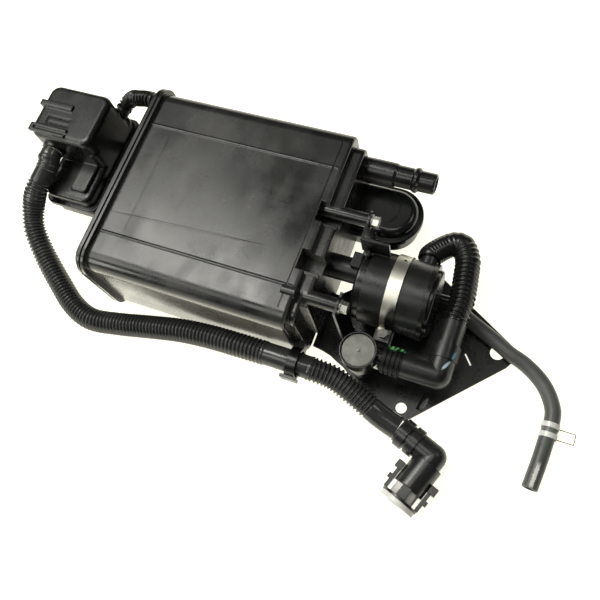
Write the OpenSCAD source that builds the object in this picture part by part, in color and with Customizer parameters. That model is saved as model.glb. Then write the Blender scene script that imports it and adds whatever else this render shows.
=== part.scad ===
// Charcoal canister of a fuel system with its filter box, air module, valve, bracket and hoses.
// Millimetres. The origin is at the middle of the case's underside.
// X runs along the case towards the ports, Y to the back and Z up.

/* [Case] */
// Length of the case from its weld flange to its port end
case_l = 212; // [200:1:230]
// Width of the case
case_w = 210; // [204:1:220]
// Height of the case
case_h = 112; // [108:1:122]
// Wall of the case
case_wall = 3; // [2:0.5:4]
// Radius of the case's long edges
edge_r = 16; // [12:1:20]
// How far the weld flanges stand out
flange_lip = 5; // [3:0.5:7]
// Thickness of each weld flange
flange_t = 3; // [2.5:0.5:4]
// Groove between the two weld flanges
flange_gap = 1.5; // [1:0.5:2.5]
// Width of the bay in front of the front partition
front_bay = 38.5; // [34:0.5:42]
// Width of the bay behind the rear partition
rear_bay = 44.7; // [42:0.1:48]
// Thickness of the partitions
partition_t = 2.5; // [2:0.5:3.5]

/* [Beds] */
// Thickness of the felt pads at both ends of a bed
pad_t = 4; // [3:0.5:6]
// Thickness of the pressure plates
plate_t = 3; // [2:0.5:4]
// Gap around the pieces inside the case
bed_clear = 0.4; // [0.3:0.1:0.8]
// Radius of the springs to the middle of their wire
spring_r = 9; // [7:0.5:11]
// Wire diameter of the springs
spring_wire = 1.8; // [1.4:0.1:2.2]

/* [Ports] */
// Height of the tank spigot above the underside
spigot_z = 74; // [70:1:76]
// Distance of the tank spigot from the back of the case
spigot_in = 17; // [16:0.5:19]
// Bore radius of the tank spigot
spigot_bore = 8; // [6:0.5:9]
// Radius of the vapour trap
trap_r = 32; // [28:1:33]
// Distance of the vapour trap from the back of the case
trap_in = 46.5; // [45:0.5:48]
// Height of the vapour trap's top
trap_top = 55; // [50:1:58]
// Width of the rim around the vapour trap's dome
trap_rim = 5; // [3:0.5:6]

/* [Air module] */
// Radius of the module
module_r = 37; // [34:0.5:38]
// Length of the module's body
module_l = 58.5; // [54:0.5:60]
// Height of the module's axis
module_z = 50; // [48:0.5:53]
// Width of the band over the module
band_w = 13; // [10:0.5:15]

/* [Valve] */
// Radius of the valve's grey cap
valve_r = 16; // [14:0.5:17]
// Height of the valve's cap
valve_top = 69; // [69:1:76]
// Height of the valve's side port
valve_port_z = 54; // [50:0.5:55]

/* [Bracket] */
// Thickness of the bracket's sheet
sheet_t = 2.5; // [2:0.5:3]
// Diameter of the hole at the plate's front corner
hole_front_d = 11; // [8:0.5:12]
// Diameter of the hole at the plate's right corner
hole_right_d = 14; // [10:0.5:15]
// Width across the flats of the bolt heads
hex_af = 10; // [8:1:11]

/* [Filter box] */
// Length of the box's upper part
box_l = 78; // [72:1:84]
// Width of the box's upper part
box_w = 66; // [62:1:70]
// Height of the box's top
box_top = 100; // [96:1:106]
// Gap between the case's weld flange and the box
box_gap = 66; // [62:1:72]
// Wall of the box
box_wall = 2.5; // [2:0.5:3]

/* [Hoses] */
// Outer diameter of the long hose
long_hose_d = 25; // [22:0.5:25.5]
// Outer diameter of the loop hose
loop_hose_d = 22.5; // [20:0.5:23]
// Outer diameter of the link hose
link_hose_d = 18; // [15:0.5:18.5]
// Outer diameter of the drain hose
drain_hose_d = 15; // [13:0.5:16]

/* [Hidden] */
$fn = 48;
gap = 0.3;

// Ends of the case
x_left = -case_l / 2;
x_end = case_l / 2;
x_step = x_end + 12;
x_cavity = x_end - 16;
x_cover = x_left - flange_t - flange_gap;
x_cover_in = x_cover - flange_t;
x_cover_out = x_cover_in - 4;
step_top = case_h - 9;
step_low = 6;

// Bays of the case
y_front = -case_w / 2 + front_bay;
y_rear = case_w / 2 - rear_bay;
bays = [
  [-case_w / 2 + case_wall, y_front - partition_t / 2],
  [y_front + partition_t / 2, y_rear - partition_t / 2],
  [y_rear + partition_t / 2, case_w / 2 - case_wall]
];
x_bed_end = x_cavity - pad_t;
x_bed = x_left + 20;
x_pad = x_bed - pad_t;
x_plate = x_pad - plate_t;
main_mid = (bays[1][0] + bays[1][1]) / 2;
spring_seats = [
  [(bays[0][0] + bays[0][1]) / 2, case_h / 2],
  [main_mid - 28, case_h / 2],
  [main_mid + 28, case_h / 2],
  [(bays[2][0] + bays[2][1]) / 2, case_h / 2]
];

// Bosses and bolts that hold the bracket
boss_r = 6.8;
boss_z = case_h - 16;
boss_ys = [22.5, -67];
x_ear = x_end + 38;
bolt_r = 2.7;
insert_bore = bolt_r + gap;
insert_r = insert_bore + 1.5;
hex_r = hex_af / 2 / cos(30);

// Tank spigot and vapour trap
spigot_y = case_w / 2 - spigot_in;
x_trap = x_step + 35;
trap_y = case_w / 2 - trap_in;
trap_low = 18;
trap_rim_top = trap_top - 9;
trap_rim_low = trap_rim_top - 7;

// Air module
module_y = -24;
x_module = x_end + 50;
x_module_end = x_module + module_l;
cap_left_l = 9;
plug_y = module_y + 11.5;
plug_z = module_z + 23.5;
plug_h = 7.5;
plug_wall = 1.5;
x_plug = x_module - cap_left_l - 9;
stub_r = 4.2;
stub_y = module_y + 18.2;
vent_y = -17;
vent_z = module_z + 10;
nipple_r = 9;
coupling_r = 12.5;
x_band = x_module + 29.5;
arm_low = module_z + sqrt(pow(module_r, 2) - pow(-1.2 - module_y, 2)) + gap;
loop_end = [x_module_end - 10, module_y + module_r + 7, module_z];
loop_port_r = 9.2;
drain_y = module_y + 16;
drain_z = module_z - 24;
x_drain = x_module_end + 19;

// Valve and its elbow
valve_out = 64.6;
valve_at = [x_end + valve_out, -94.2];
port_y = valve_at[1] + 3.2;
valve_body_r = valve_r - 1;
cap_t = 3.5;
collar_r = valve_r + gap + 1.4;
collar_l = 13;
collar_up = 1.6;
x_sleeve = valve_at[0] + valve_r + 5.9;
sleeve_l = 20;
elbow_r = loop_hose_d / 2 + 1;
elbow_l = 32.5;
elbow_at = [x_sleeve + sleeve_l + elbow_l, port_y, valve_port_z];
elbow_tail = 53;
loop_start = elbow_at + [0, elbow_tail, 0];
loop_route = [
  loop_start + [0, 0.5, 0],
  loop_start + [0, 4.3, 0],
  loop_start + [1.6, 14, 0],
  loop_start + [1.8, 26.5, -0.5],
  loop_start + [0, 39, -1],
  loop_start + [-2.2, 54, -2],
  loop_end + [35, 9, 0.8],
  loop_end + [27.6, 21, 0.4],
  loop_end + [20.3, 22.6, 0],
  loop_end + [12.8, 18.5, 0],
  loop_end + [4.5, 10, 0],
  loop_end + [0, 3.5, 0],
  loop_end + [0, 0.6, 0]
];

// Filter box
box_x1 = x_left - box_gap;
box_x0 = box_x1 - box_l;
box_y0 = 22;
box_y1 = box_y0 + box_w;
tray_x0 = box_x1 - 60.5;
tray_y0 = -23;
tray_y1 = box_y1 + 7.5;
tray_low = 14;
rim_low = 33;
rim_split = 36;
rim_top = 40;
rim_out = 4;
deck_top = 55;
overhang_low = 58;
nozzle_x = box_x0 + 23;
nozzle_z = box_top - 23;
nozzle_l = 4;
arm_ys = [20, 68];

// Link hose from the box's back to the nipple on the cover
link_r = link_hose_d / 2;
link_bore = 5.2;
cover_nipple = [x_cover_out - 10, case_w / 2 - 5, case_h - 21];
box_nipple = [box_x1 - 4.5, box_y1 + 5, 67];
link_route = [
  box_nipple + [0, 0.4, 0],
  box_nipple + [0.2, 5, 0],
  box_nipple + [5, 11, 4],
  box_nipple + [13.5, 12, 11],
  cover_nipple + [-26, 1.8, -6.5],
  cover_nipple + [-14, 1, -2],
  cover_nipple + [-5, 0, 0],
  cover_nipple - [0.4, 0, 0]
];

// Long hose along the front, its points chosen along what the picture shows
long_r = long_hose_d / 2;
long_start = [nozzle_x, box_y0 - nozzle_l - 0.9, nozzle_z];
clip_at = [x_end + 6, -case_w / 2 - 14.3, 45];
clip_bore = long_r + 0.6;
long_route = [
  long_start,
  long_start + [0, -8, 0],
  long_start + [0.4, -17.4, -3.6],
  [-232, -25.3, 65.5],
  [-236, -38.2, 54],
  [-236, -50.3, 45],
  [-231, -64.4, 37],
  [-219.8, -78.5, 29],
  [-204.6, -93.2, 22],
  [-182.6, -110.6, 17],
  [-157.5, -127.8, 15],
  [-128.7, -136.8, 16],
  [-93.7, -133, 19],
  [-55, -126.5, 25],
  [-17.7, -121.5, 33],
  [18.2, -119.4, 39],
  [53, -119.2, 43],
  [90.8, -119, 45],
  clip_at + [0.3, 0, 0],
  [129.3, -119.4, 43],
  [151.4, -120.2, 37],
  [173, -126.5, 30],
  [193.6, -134.5, 24],
  [205.3, -138.8, 21.5],
  [222.7, -143.7, 19.4]
];

// Quick connector on the end of the long hose
joint_in = [224.5, -144.2, 19.2];
joint_l = 40;
neck_turn = -20.6;
joint_r = 12.4;
joint_body_r = 15;
window_start = 38;
window_end = 49;

// Drain hose, its points chosen along what the picture shows
drain_r = drain_hose_d / 2;
drain_route = [
  [x_drain + 0.6, drain_y, drain_z],
  [x_drain + 4, drain_y, drain_z],
  [x_drain + 11, drain_y - 3, drain_z - 4.5],
  [251.4, -15.5, 16.5],
  [268.5, -22.3, 12.8],
  [285.5, -29.6, 11.4],
  [302.4, -37.8, 10.8],
  [313.2, -41.4, 10],
  [324.2, -46.5, 9.2],
  [335.6, -54.2, 9],
  [344.3, -63.1, 9],
  [351.2, -74, 9],
  [354.3, -82.9, 9],
  [355, -95.6, 9],
  [354.1, -110.6, 9],
  [353.3, -127.3, 9],
  [351.8, -145, 9],
  [350.9, -155.7, 9]
];
tag_at = [354.8, -98.8, 9];
tag_l = 14.5;
flag_w = 11;
flag_l = 17;

// Outline of the bracket's base plate
plate_outline = [
  [112.3, -87.5], [123, -89], [133, -91.6], [141, -95.5], [150, -99.3], [160, -106], [180, -116.5],
  [203, -126], [217, -131], [225.5, -132], [230, -127.5], [303, -50], [307, -43], [306, -33], [300, -25],
  [252, 3], [215, 25], [150, 30], [144, 28], [144, -6], [130, -17], [120, -26], [112.3, -26]
];
plate_holes = [[218.2, -120.5], [290.8, -38.2]];

// Curves through points and tubes swept along them

// Point at parameter u of a smooth curve through the points p
function spline_at(p, u) =
  let (
    n = len(p) - 1,
    i = min(floor(u), n - 1),
    f = u - i,
    b = p[i],
    c = p[i + 1],
    a = i > 0 ? p[i - 1] : 2 * b - c,
    d = i + 1 < n ? p[i + 2] : 2 * c - b
  )
  0.5 * (2 * b + (c - a) * f + (2 * a - 5 * b + 4 * c - d) * f * f + (3 * b - a - 3 * c + d) * f * f * f);

// The curve through the points p cut into equal lengths
function evenly(p, count) =
  let (
    n = 160,
    u = [for (i = [0:n]) i * (len(p) - 1) / n],
    q = [for (v = u) spline_at(p, v)],
    s = [for (t = 0, i = 0; i <= n; t = t + (i < n ? norm(q[i + 1] - q[i]) : 0), i = i + 1) t],
    table = [for (i = [0:n]) [s[i], u[i]]]
  )
  [for (k = [0:count]) spline_at(p, lookup(k * s[n] / count, table))];

function unit(v) = v / norm(v);

// Directions in which the points p start and end
function end_ways(p) = [p[1] - p[0], p[len(p) - 1] - p[len(p) - 2]];

// Direction of a path at each of its points, the first and the last one given
function tangents(p, ways) =
  let (n = len(p) - 1)
  [for (i = [0:n]) unit(i == 0 ? ways[0] : i == n ? ways[1] : p[i + 1] - p[i - 1])];

// Ring of n points around c, square to the direction t
function ring(c, t, r, n, ref) =
  let (s = unit(cross(ref, t)), u = cross(t, s))
  [for (k = [0:n - 1]) c + r * (cos(360 * k / n) * s + sin(360 * k / n) * u)];

// Solid tube through the points of a path, with a radius for each point
module tube(path, radii, n, ways, ref = [0, 0, 1]) {
  t = tangents(path, ways);
  points = [for (i = [0:len(path) - 1]) each ring(path[i], t[i], radii[i], n, ref)];
  last = (len(path) - 1) * n;
  faces = concat(
    [[for (k = [0:n - 1]) k]],
    [for (i = [0:len(path) - 2], k = [0:n - 1])
      let (a = i * n + k, b = i * n + (k + 1) % n) each [[a, a + n, b], [b, a + n, b + n]]],
    [[for (k = [n - 1:-1:0]) last + k]]
  );
  polyhedron(points, faces);
}

// Shapes used by many parts

// Rectangle w by h around the origin with corners of radius r
module rounded(w, h, r) {
  square([w - 2 * r, h], center = true);
  square([w, h - 2 * r], center = true);
  for (i = [-1, 1], j = [-1, 1]) {
    translate([i * (w / 2 - r), j * (h / 2 - r)]) circle(r);
  }
}

// Flat shape drawn in Y and Z, drawn out along X from x0 to x1
module bar_x(x0, x1) {
  translate([x0, 0, 0]) rotate([90, 0, 90]) linear_extrude(x1 - x0) children();
}

// Cylinder along X
module rod_x(x0, x1, y, z, r) {
  translate([x0, y, z]) rotate([0, 90, 0]) cylinder(h = x1 - x0, r = r);
}

// Cylinder along Y
module rod_y(x, y0, y1, z, r) {
  translate([x, y1, z]) rotate([90, 0, 0]) cylinder(h = y1 - y0, r = r);
}

// Box between two corners
module block(low, high) {
  translate(low) cube(high - low);
}

// Outline of a slab seen from the side, with its two top edges rounded
module dome_profile(w, l, f) {
  translate([-w / 2, 0]) square([w, l - f]);
  translate([-w / 2 + f, 0]) square([w - 2 * f, l]);
  for (i = [-1, 1]) {
    translate([i * (w / 2 - f), l - f]) circle(f);
  }
}

// Round puck with its top edge rounded
module soft_puck(r, l, f) {
  rotate_extrude() {
    square([r - f, l]);
    square([r, l - f]);
    translate([r - f, l - f]) circle(f);
  }
}

// Slab w by h with corners of radius r, l tall, with its top edges rounded by f
module soft_slab(w, h, l, r, f) {
  for (i = [-1, 1], j = [-1, 1]) {
    translate([i * (w / 2 - r), j * (h / 2 - r), 0]) soft_puck(r, l, f);
  }
  translate([0, h / 2 - r, 0]) rotate([90, 0, 0]) linear_extrude(h - 2 * r) dome_profile(w, l, f);
  translate([-(w / 2 - r), 0, 0]) rotate([90, 0, 90]) linear_extrude(w - 2 * r) dome_profile(h, l, f);
}

// Soft slab standing between two corners of a box
module soft_block(low, high, r, f) {
  s = high - low;
  translate([(low[0] + high[0]) / 2, (low[1] + high[1]) / 2, low[2]]) soft_slab(s[0], s[1], s[2], r, f);
}

// Soft slab lying along X, its rounded end towards +X
module soft_block_x(low, high, r, f) {
  s = high - low;
  translate([low[0], (low[1] + high[1]) / 2, (low[2] + high[2]) / 2]) {
    rotate([90, 0, 90]) soft_slab(s[1], s[2], s[0], r, f);
  }
}

// Section of the case made larger by out at its sides and top
module case_section(out) {
  translate([0, (case_h + out) / 2]) rounded(case_w + 2 * out, case_h + out, edge_r + out);
}

// Section of the space inside the case, made smaller by c
module cavity_section(c) {
  translate([0, case_h / 2]) {
    rounded(case_w - 2 * case_wall - 2 * c, case_h - 2 * case_wall - 2 * c, edge_r - case_wall - c);
  }
}

// Block that fills one bay from x0 to x1
module bay_block(k, x0, x1) {
  intersection() {
    bar_x(x0, x1) cavity_section(bed_clear);
    block([x0 - 1, bays[k][0] + bed_clear, 0], [x1 + 1, bays[k][1] - bed_clear, case_h]);
  }
}

// Pressure plate of one bay with its rows of holes
module pressure_plate(k, columns) {
  low = bays[k][0];
  pitch = (bays[k][1] - low) / columns;
  difference() {
    bay_block(k, x_plate, x_pad);
    for (i = [0:columns - 1], j = [0:5]) {
      rod_x(x_plate - 1, x_pad + 1, low + (i + 0.5) * pitch, 19 + j * (case_h - 38) / 5, 3);
    }
  }
}

// Spring between the cover and a pressure plate
module bed_spring(seat) {
  x0 = x_cover_in + spring_wire / 2 + 0.1;
  x1 = x_plate - spring_wire / 2 - 0.1;
  n = 56;
  path = [for (i = [0:n]) [
    x0 + (x1 - x0) * i / n,
    seat[0] + spring_r * cos(i * 360 * 4 / n),
    seat[1] + spring_r * sin(i * 360 * 4 / n)
  ]];
  tube(path, [for (p = path) spring_wire / 2], 6, end_ways(path), [1, 0, 0]);
}

// Case, beds and cover

module canister_case() {
  color("#1b1c1d") {
    difference() {
      union() {
        soft_block_x([x_left, -case_w / 2, 0], [x_end, case_w / 2, case_h], edge_r, 3);
        bar_x(x_left - flange_t, x_left) case_section(flange_lip);
        soft_block_x(
          [x_end - 4, -case_w / 2 + 8, step_low], [x_end + 6, case_w / 2 - 8, step_top], edge_r - 4, 2
        );
        soft_block_x(
          [x_end - 4, boss_ys[1] - boss_r - 3, step_low], [x_step, case_w / 2 - 8, step_top], edge_r - 4, 3
        );
        for (y = [y_front, y_rear]) {
          rod_x(x_left, x_end - 4, y, case_h - 1.4, 2.2);
        }
        rod_x(x_end - 13, x_end + 1, boss_ys[1] - 4, case_h - 3, 5.5);
        rod_x(x_end - 2, x_step + 14, vent_y, vent_z, nipple_r);
        spigot();
      }
      bar_x(x_left - flange_t - 1, x_cavity) cavity_section(0);
      pocket(2.5, 21);
      pocket(-48.7, 21);
      block(
        [x_end - 10, -case_w / 2 + edge_r, case_h - 0.6],
        [x_end - 8.6, case_w / 2 - edge_r, case_h + 1]
      );
      rod_x(x_cavity - 1, x_step + 80, spigot_y, spigot_z, spigot_bore);
      rod_x(x_cavity - 1, x_step + 20, vent_y, vent_z, nipple_r - 2.5);
      rod_x(x_cavity - 1, x_step + 1, trap_y + 18, 36, 8);
      for (y = boss_ys) {
        rod_x(x_end - 2, x_step + 1, y, boss_z, insert_r + gap);
      }
    }
    for (y = [y_front, y_rear]) {
      block(
        [x_plate - 2, y - partition_t / 2, case_wall - 1],
        [x_cavity + 1, y + partition_t / 2, case_h - case_wall + 1]
      );
    }
    for (y = boss_ys) {
      bolt_boss(y);
    }
  }
}

// Tank spigot with its hose bead
module spigot() {
  translate([x_end - 2, spigot_y, spigot_z]) rotate([0, 90, 0]) rotate_extrude() {
    polygon([
      [spigot_bore - 1, 0], [12.1, 0], [12.1, 44], [11, 46.5], [11, 62.5], [12.7, 65],
      [12.7, 67.5], [10.6, 70], [10.6, 84], [9.6, 86], [spigot_bore - 1, 86]
    ]);
  }
}

// Pocket in the top edge of the port end, with a ledge at its front end
module pocket(y, w) {
  block([x_end - 8, y + 4.5, case_h - 24], [x_step + 1, y + w, case_h + 1]);
  block([x_end - 8, y, case_h - 13], [x_step + 1, y + 5, case_h + 1]);
}

// Boss that takes a bracket bolt
module bolt_boss(y) {
  difference() {
    rod_x(x_end - 9, x_ear, y, boss_z, boss_r);
    rod_x(x_end - 2, x_ear + 1, y, boss_z, insert_r + gap);
  }
}

module end_cover() {
  color("#1c1d1e") {
    difference() {
      union() {
        bar_x(x_cover, x_cover + flange_gap) case_section(0);
        bar_x(x_cover_in, x_cover) case_section(flange_lip);
        bar_x(x_cover_out, x_cover_in) case_section(1);
        for (y = [-75, -45, -15, 15, 45, 75]) {
          block([x_cover_out - 2.5, y - 1.25, 8], [x_cover_out + 1, y + 1.25, case_h - 12]);
        }
        for (z = [36, 64]) {
          block([x_cover_out - 2.5, -92, z - 1.25], [x_cover_out + 1, 92, z + 1.25]);
        }
        rod_x(cover_nipple[0] + 0.4, x_cover_out + 1, cover_nipple[1], cover_nipple[2], link_bore + 2.4);
        for (y = arm_ys) {
          block([x_cover_out - 9, y - 7, 13], [x_cover_out + 1, y + 7, 34]);
        }
        translate([x_cover_in - 5.2, case_w / 2 + 3, case_h - 34]) cylinder(h = 12, r = 9);
      }
      bar_x(x_cover_in, x_cover + flange_gap + 1) cavity_section(0);
      rod_x(cover_nipple[0] - 1, x_cover_in + 1, cover_nipple[1], cover_nipple[2], 4);
      for (y = arm_ys) {
        block([x_cover_out - 10, y - 4.4, 15.6], [x_cover_out - 1, y + 4.4, 31.4]);
      }
      translate([x_cover_in - 5.2, case_w / 2 + 7, case_h - 35]) cylinder(h = 14, r = 2.6);
    }
    for (s = spring_seats) {
      rod_x(x_cover_in - 1, x_cover_in + 4, s[0], s[1], spring_r - spring_wire / 2 - 0.6);
    }
  }
}

module main_bed() {
  color("#2c2b29") bay_block(1, x_bed, x_bed_end);
}

module rear_bed() {
  color("#2c2b29") bay_block(2, x_bed, x_bed_end);
}

module front_bed() {
  color("#2c2b29") bay_block(0, x_bed, x_bed_end);
}

module main_port_pad() {
  color("#c9c6bb") bay_block(1, x_bed_end, x_cavity);
}

module rear_port_pad() {
  color("#c9c6bb") bay_block(2, x_bed_end, x_cavity);
}

module front_port_pad() {
  color("#c9c6bb") bay_block(0, x_bed_end, x_cavity);
}

module main_spring_pad() {
  color("#c9c6bb") bay_block(1, x_pad, x_bed);
}

module rear_spring_pad() {
  color("#c9c6bb") bay_block(2, x_pad, x_bed);
}

module front_spring_pad() {
  color("#c9c6bb") bay_block(0, x_pad, x_bed);
}

module main_pressure_plate() {
  color("#232425") pressure_plate(1, 8);
}

module rear_pressure_plate() {
  color("#232425") pressure_plate(2, 3);
}

module front_pressure_plate() {
  color("#232425") pressure_plate(0, 2);
}

module bed_springs() {
  color("#9a9c9e") {
    for (s = spring_seats) {
      bed_spring(s);
    }
  }
}

// Domed chamber on the port end

module vapour_trap() {
  color("#1d1e1f") {
    difference() {
      union() {
        translate([0, 0, trap_rim_low - trap_low]) trap_shape(trap_r, trap_rim_top - trap_rim_low, 1.5);
        trap_shape(trap_r - trap_rim, trap_top - trap_low, 8);
        translate([x_trap - 13, trap_y + 1.5, trap_top - 1]) cylinder(h = 1.6, r = trap_r - 11.5);
      }
      translate([0, 0, 2.5]) trap_shape(trap_r - trap_rim - 2.5, trap_top - trap_low - 5.5, 5.5, 1);
    }
  }
}

// Chamber with a round nose and straight sides back to the case
module trap_shape(r, l, f, back = 0) {
  translate([x_trap, trap_y, trap_low]) soft_puck(r, l, f);
  translate([x_step - back, trap_y, trap_low]) {
    rotate([90, 0, 90]) linear_extrude(x_trap - x_step + back) dome_profile(2 * r, l, f);
  }
}

// Air module on the bracket

module module_body() {
  color("#3a3c40") {
    difference() {
      union() {
        rod_x(x_module, x_module_end, module_y, module_z, module_r);
        rod_y(loop_end[0], module_y + module_r - 8, loop_end[1], module_z, loop_port_r);
      }
      rod_x(x_module - 1, x_module_end + 1, module_y, module_z, module_r - 2.5);
      rod_y(loop_end[0], module_y + module_r - 10, loop_end[1] + 1, module_z, loop_port_r - 2);
    }
  }
}

module module_left_cap() {
  color("#1d1e20") {
    difference() {
      union() {
        translate([x_module, module_y, module_z]) rotate([0, -90, 0]) {
          soft_puck(module_r - 2.5, cap_left_l, 3);
        }
        rod_x(x_module - cap_left_l - 13, x_module - 2, vent_y, vent_z, nipple_r);
        translate([x_module - stub_r - 0.5, stub_y, module_z]) soft_puck(stub_r, module_r + 1, 2);
      }
      rod_x(x_module - cap_left_l - 14, x_module + 1, vent_y, vent_z, nipple_r - 2.5);
    }
  }
}

module module_right_cap() {
  color("#1d1e20") {
    difference() {
      union() {
        rod_x(x_module_end, x_module_end + 4.5, module_y, module_z, module_r + 1);
        translate([x_module_end + 4, module_y, module_z]) rotate([0, 90, 0]) soft_puck(module_r - 4, 5, 2);
        rod_x(x_module_end + 4, x_drain, drain_y, drain_z, 5);
      }
      rod_x(x_module_end - 1, x_drain + 1, drain_y, drain_z, 3.4);
    }
  }
}

module module_filter() {
  color("#b9b4a2") {
    difference() {
      rod_x(x_module + 1, x_module_end - 1, module_y, module_z, module_r - 4.5);
      rod_x(x_module, x_module_end, module_y, module_z, module_r - 18);
    }
  }
}

module module_connector() {
  color("#161718") {
    difference() {
      block([x_plug, plug_y - 7.5, plug_z], [x_plug + 9, plug_y + 7.5, plug_z + plug_h]);
      block(
        [x_plug - 1, plug_y - 7.5 + plug_wall, plug_z + plug_wall],
        [x_plug + 7, plug_y + 7.5 - plug_wall, plug_z + plug_h - plug_wall]
      );
    }
    for (i = [-1, 1]) {
      rod_x(x_plug + 1, x_plug + 8, plug_y + 3 * i, plug_z + plug_h / 2, 0.8);
    }
  }
}

module vent_coupling() {
  color("#141516") {
    difference() {
      rod_x(x_step, x_module - cap_left_l, vent_y, vent_z, coupling_r);
      rod_x(x_step - 1, x_module, vent_y, vent_z, nipple_r + gap);
    }
  }
}

module band_clamp() {
  color("#c6c8ca") {
    difference() {
      union() {
        rod_x(x_band - band_w / 2, x_band + band_w / 2, module_y, module_z, module_r + 1.5);
        block(
          [x_band - band_w / 2, module_y - module_r - 14, module_z + 1],
          [x_band + band_w / 2, module_y - module_r + 1, module_z + 2.4]
        );
      }
      rod_x(x_band - band_w, x_band + band_w, module_y, module_z, module_r + gap);
      block(
        [x_band - band_w, module_y - module_r - 20, module_z - 60],
        [x_band + band_w, module_y + module_r + 20, module_z + 1]
      );
      translate([x_band, module_y - module_r - 7.5, module_z]) cylinder(h = 5, r = bolt_r + gap);
      translate([x_band + 1.5, module_y + 23.5, module_z + 20]) cylinder(h = 30, r = 1.5);
    }
  }
}

module band_screw() {
  color("#b9bbbd") {
    translate([x_band, module_y - module_r - 7.5, 0]) {
      translate([0, 0, module_z + 2.4]) cylinder(h = 1.2, r = 5.5);
      translate([0, 0, module_z + 3.6]) cylinder(h = 4, r = hex_r - 1, $fn = 6);
      translate([0, 0, module_z - 12]) cylinder(h = 15, r = bolt_r);
      translate([0, 0, module_z - 8]) {
        difference() {
          cylinder(h = 4, r = hex_r - 1, $fn = 6);
          translate([0, 0, -1]) cylinder(h = 6, r = bolt_r + gap / 2);
        }
      }
    }
  }
}

// Valve, its sleeve and elbow, and the loop hose

module vent_valve() {
  color("#191a1b") {
    translate([valve_at[0], valve_at[1], 0]) {
      translate([0, 0, sheet_t]) cylinder(h = valve_top - sheet_t - cap_t, r = valve_body_r - 3);
      translate([0, 0, valve_top - 33.5]) cylinder(h = 33.5 - cap_t, r = valve_body_r);
      difference() {
        translate([0, 0, valve_top + collar_up - collar_l]) cylinder(h = collar_l, r = collar_r);
        translate([0, 0, valve_top - cap_t]) cylinder(h = 20, r = valve_r + gap);
      }
    }
    difference() {
      rod_x(valve_at[0], x_sleeve + 12, port_y, valve_port_z, 8.5);
      rod_x(valve_at[0] + valve_r - 4, x_sleeve + 13, port_y, valve_port_z, 6);
    }
  }
}

module valve_cap() {
  color("#707275") {
    translate([valve_at[0], valve_at[1], valve_top - cap_t]) {
      soft_puck(valve_r, cap_t, 1);
      cylinder(h = cap_t + 1.1, r = 1.6);
    }
  }
}

module valve_sleeve() {
  color("#161718") {
    difference() {
      union() {
        rod_x(x_sleeve, x_sleeve + sleeve_l, port_y, valve_port_z, 12.2);
        for (i = [0:3]) {
          rod_x(x_sleeve + 1.5 + 4.4 * i, x_sleeve + 4.1 + 4.4 * i, port_y, valve_port_z, 13.8);
        }
      }
      rod_x(x_sleeve - 1, x_sleeve + sleeve_l + 1, port_y, valve_port_z, 8.5 + gap);
    }
  }
}

module valve_elbow() {
  y = port_y;
  z = valve_port_z;
  color("#18191a") {
    difference() {
      union() {
        rod_x(x_sleeve + sleeve_l, elbow_at[0], y, z, elbow_r);
        translate(elbow_at) sphere(elbow_r);
        rod_y(elbow_at[0], y, y + 16, z, elbow_r);
        rod_y(elbow_at[0], y + 15, y + 30, z, elbow_r + 1.2);
        rod_y(elbow_at[0], y + 29, loop_start[1], z, elbow_r - 0.8);
      }
      rod_x(x_sleeve + sleeve_l - 1, elbow_at[0], y, z, 6);
      rod_y(elbow_at[0], y, loop_start[1] + 1, z, 6);
    }
  }
}

module loop_hose() {
  color("#151617") {
    crest = loop_hose_d / 2;
    path = evenly(loop_route, 64);
    radii = [for (i = [0:64]) i < 3 || i > 52 || i % 2 == 0 ? crest : crest - 1.6];
    tube(path, radii, 12, end_ways(loop_route));
  }
}

// Bracket that carries the module and the valve

module module_bracket() {
  color("#17181a") {
    difference() {
      linear_extrude(sheet_t) polygon([for (p = plate_outline) p + [x_end - 106, 0]]);
      plate_hole(0, hole_front_d);
      plate_hole(1, hole_right_d);
      translate([x_end + 159.8, -53.3, -1]) rotate([0, 0, 40]) translate([-0.8, -6.5, 0]) cube([1.6, 13, 10]);
    }
    translate([x_end + 130.6, -108.5, sheet_t]) rotate([90, 0, 169]) {
      linear_extrude(18, center = true) polygon([[-3.5, -0.5], [3.5, -0.5], [1, 2.4]]);
    }
    ear(boss_ys[0], 12, trap_y - trap_r - 1);
    ear(boss_ys[1], -79, -56);
    block([x_ear, -1.2, arm_low], [x_ear + 28, 1.3, boss_z + 8]);
    saddle();
  }
}

// Cut for one hole of the base plate
module plate_hole(k, d) {
  translate([x_end - 106 + plate_holes[k][0], plate_holes[k][1], -1]) cylinder(h = 10, r = d / 2);
}

// Upright from the base plate to the head of one bolt
module ear(y, leg_low, leg_high) {
  difference() {
    union() {
      block([x_ear, leg_low, 0], [x_ear + sheet_t, leg_high, boss_z + 8]);
      rod_x(x_ear, x_ear + sheet_t, y, boss_z, 10);
      if (y > 0) {
        block([x_ear, -1.2, boss_z - 8], [x_ear + sheet_t, y, boss_z + 8]);
      }
    }
    rod_x(x_ear - 1, x_ear + sheet_t + 1, y, boss_z, bolt_r + gap);
  }
}

// Trough under the module, with a lug for the band's screw
module saddle() {
  lug_y = module_y - module_r;
  difference() {
    union() {
      rod_x(x_band - 9, x_band + 9, module_y, module_z, module_r + 3);
      block([x_band - 9, lug_y - 14, module_z - 4], [x_band + 9, lug_y + 2, module_z - 1.5]);
      block([x_band - 9, module_y - 22, 1], [x_band + 9, module_y - 19.5, module_z - 28]);
      block([x_band - 9, module_y + 19.5, 1], [x_band + 9, module_y + 22, module_z - 28]);
    }
    rod_x(x_band - 10, x_band + 10, module_y, module_z, module_r + gap);
    block([x_band - 10, module_y - 60, module_z - 1.5], [x_band + 10, module_y + 60, module_z + 60]);
    translate([x_band, lug_y - 7.5, module_z - 10]) cylinder(h = 12, r = bolt_r + gap);
  }
}

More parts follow.
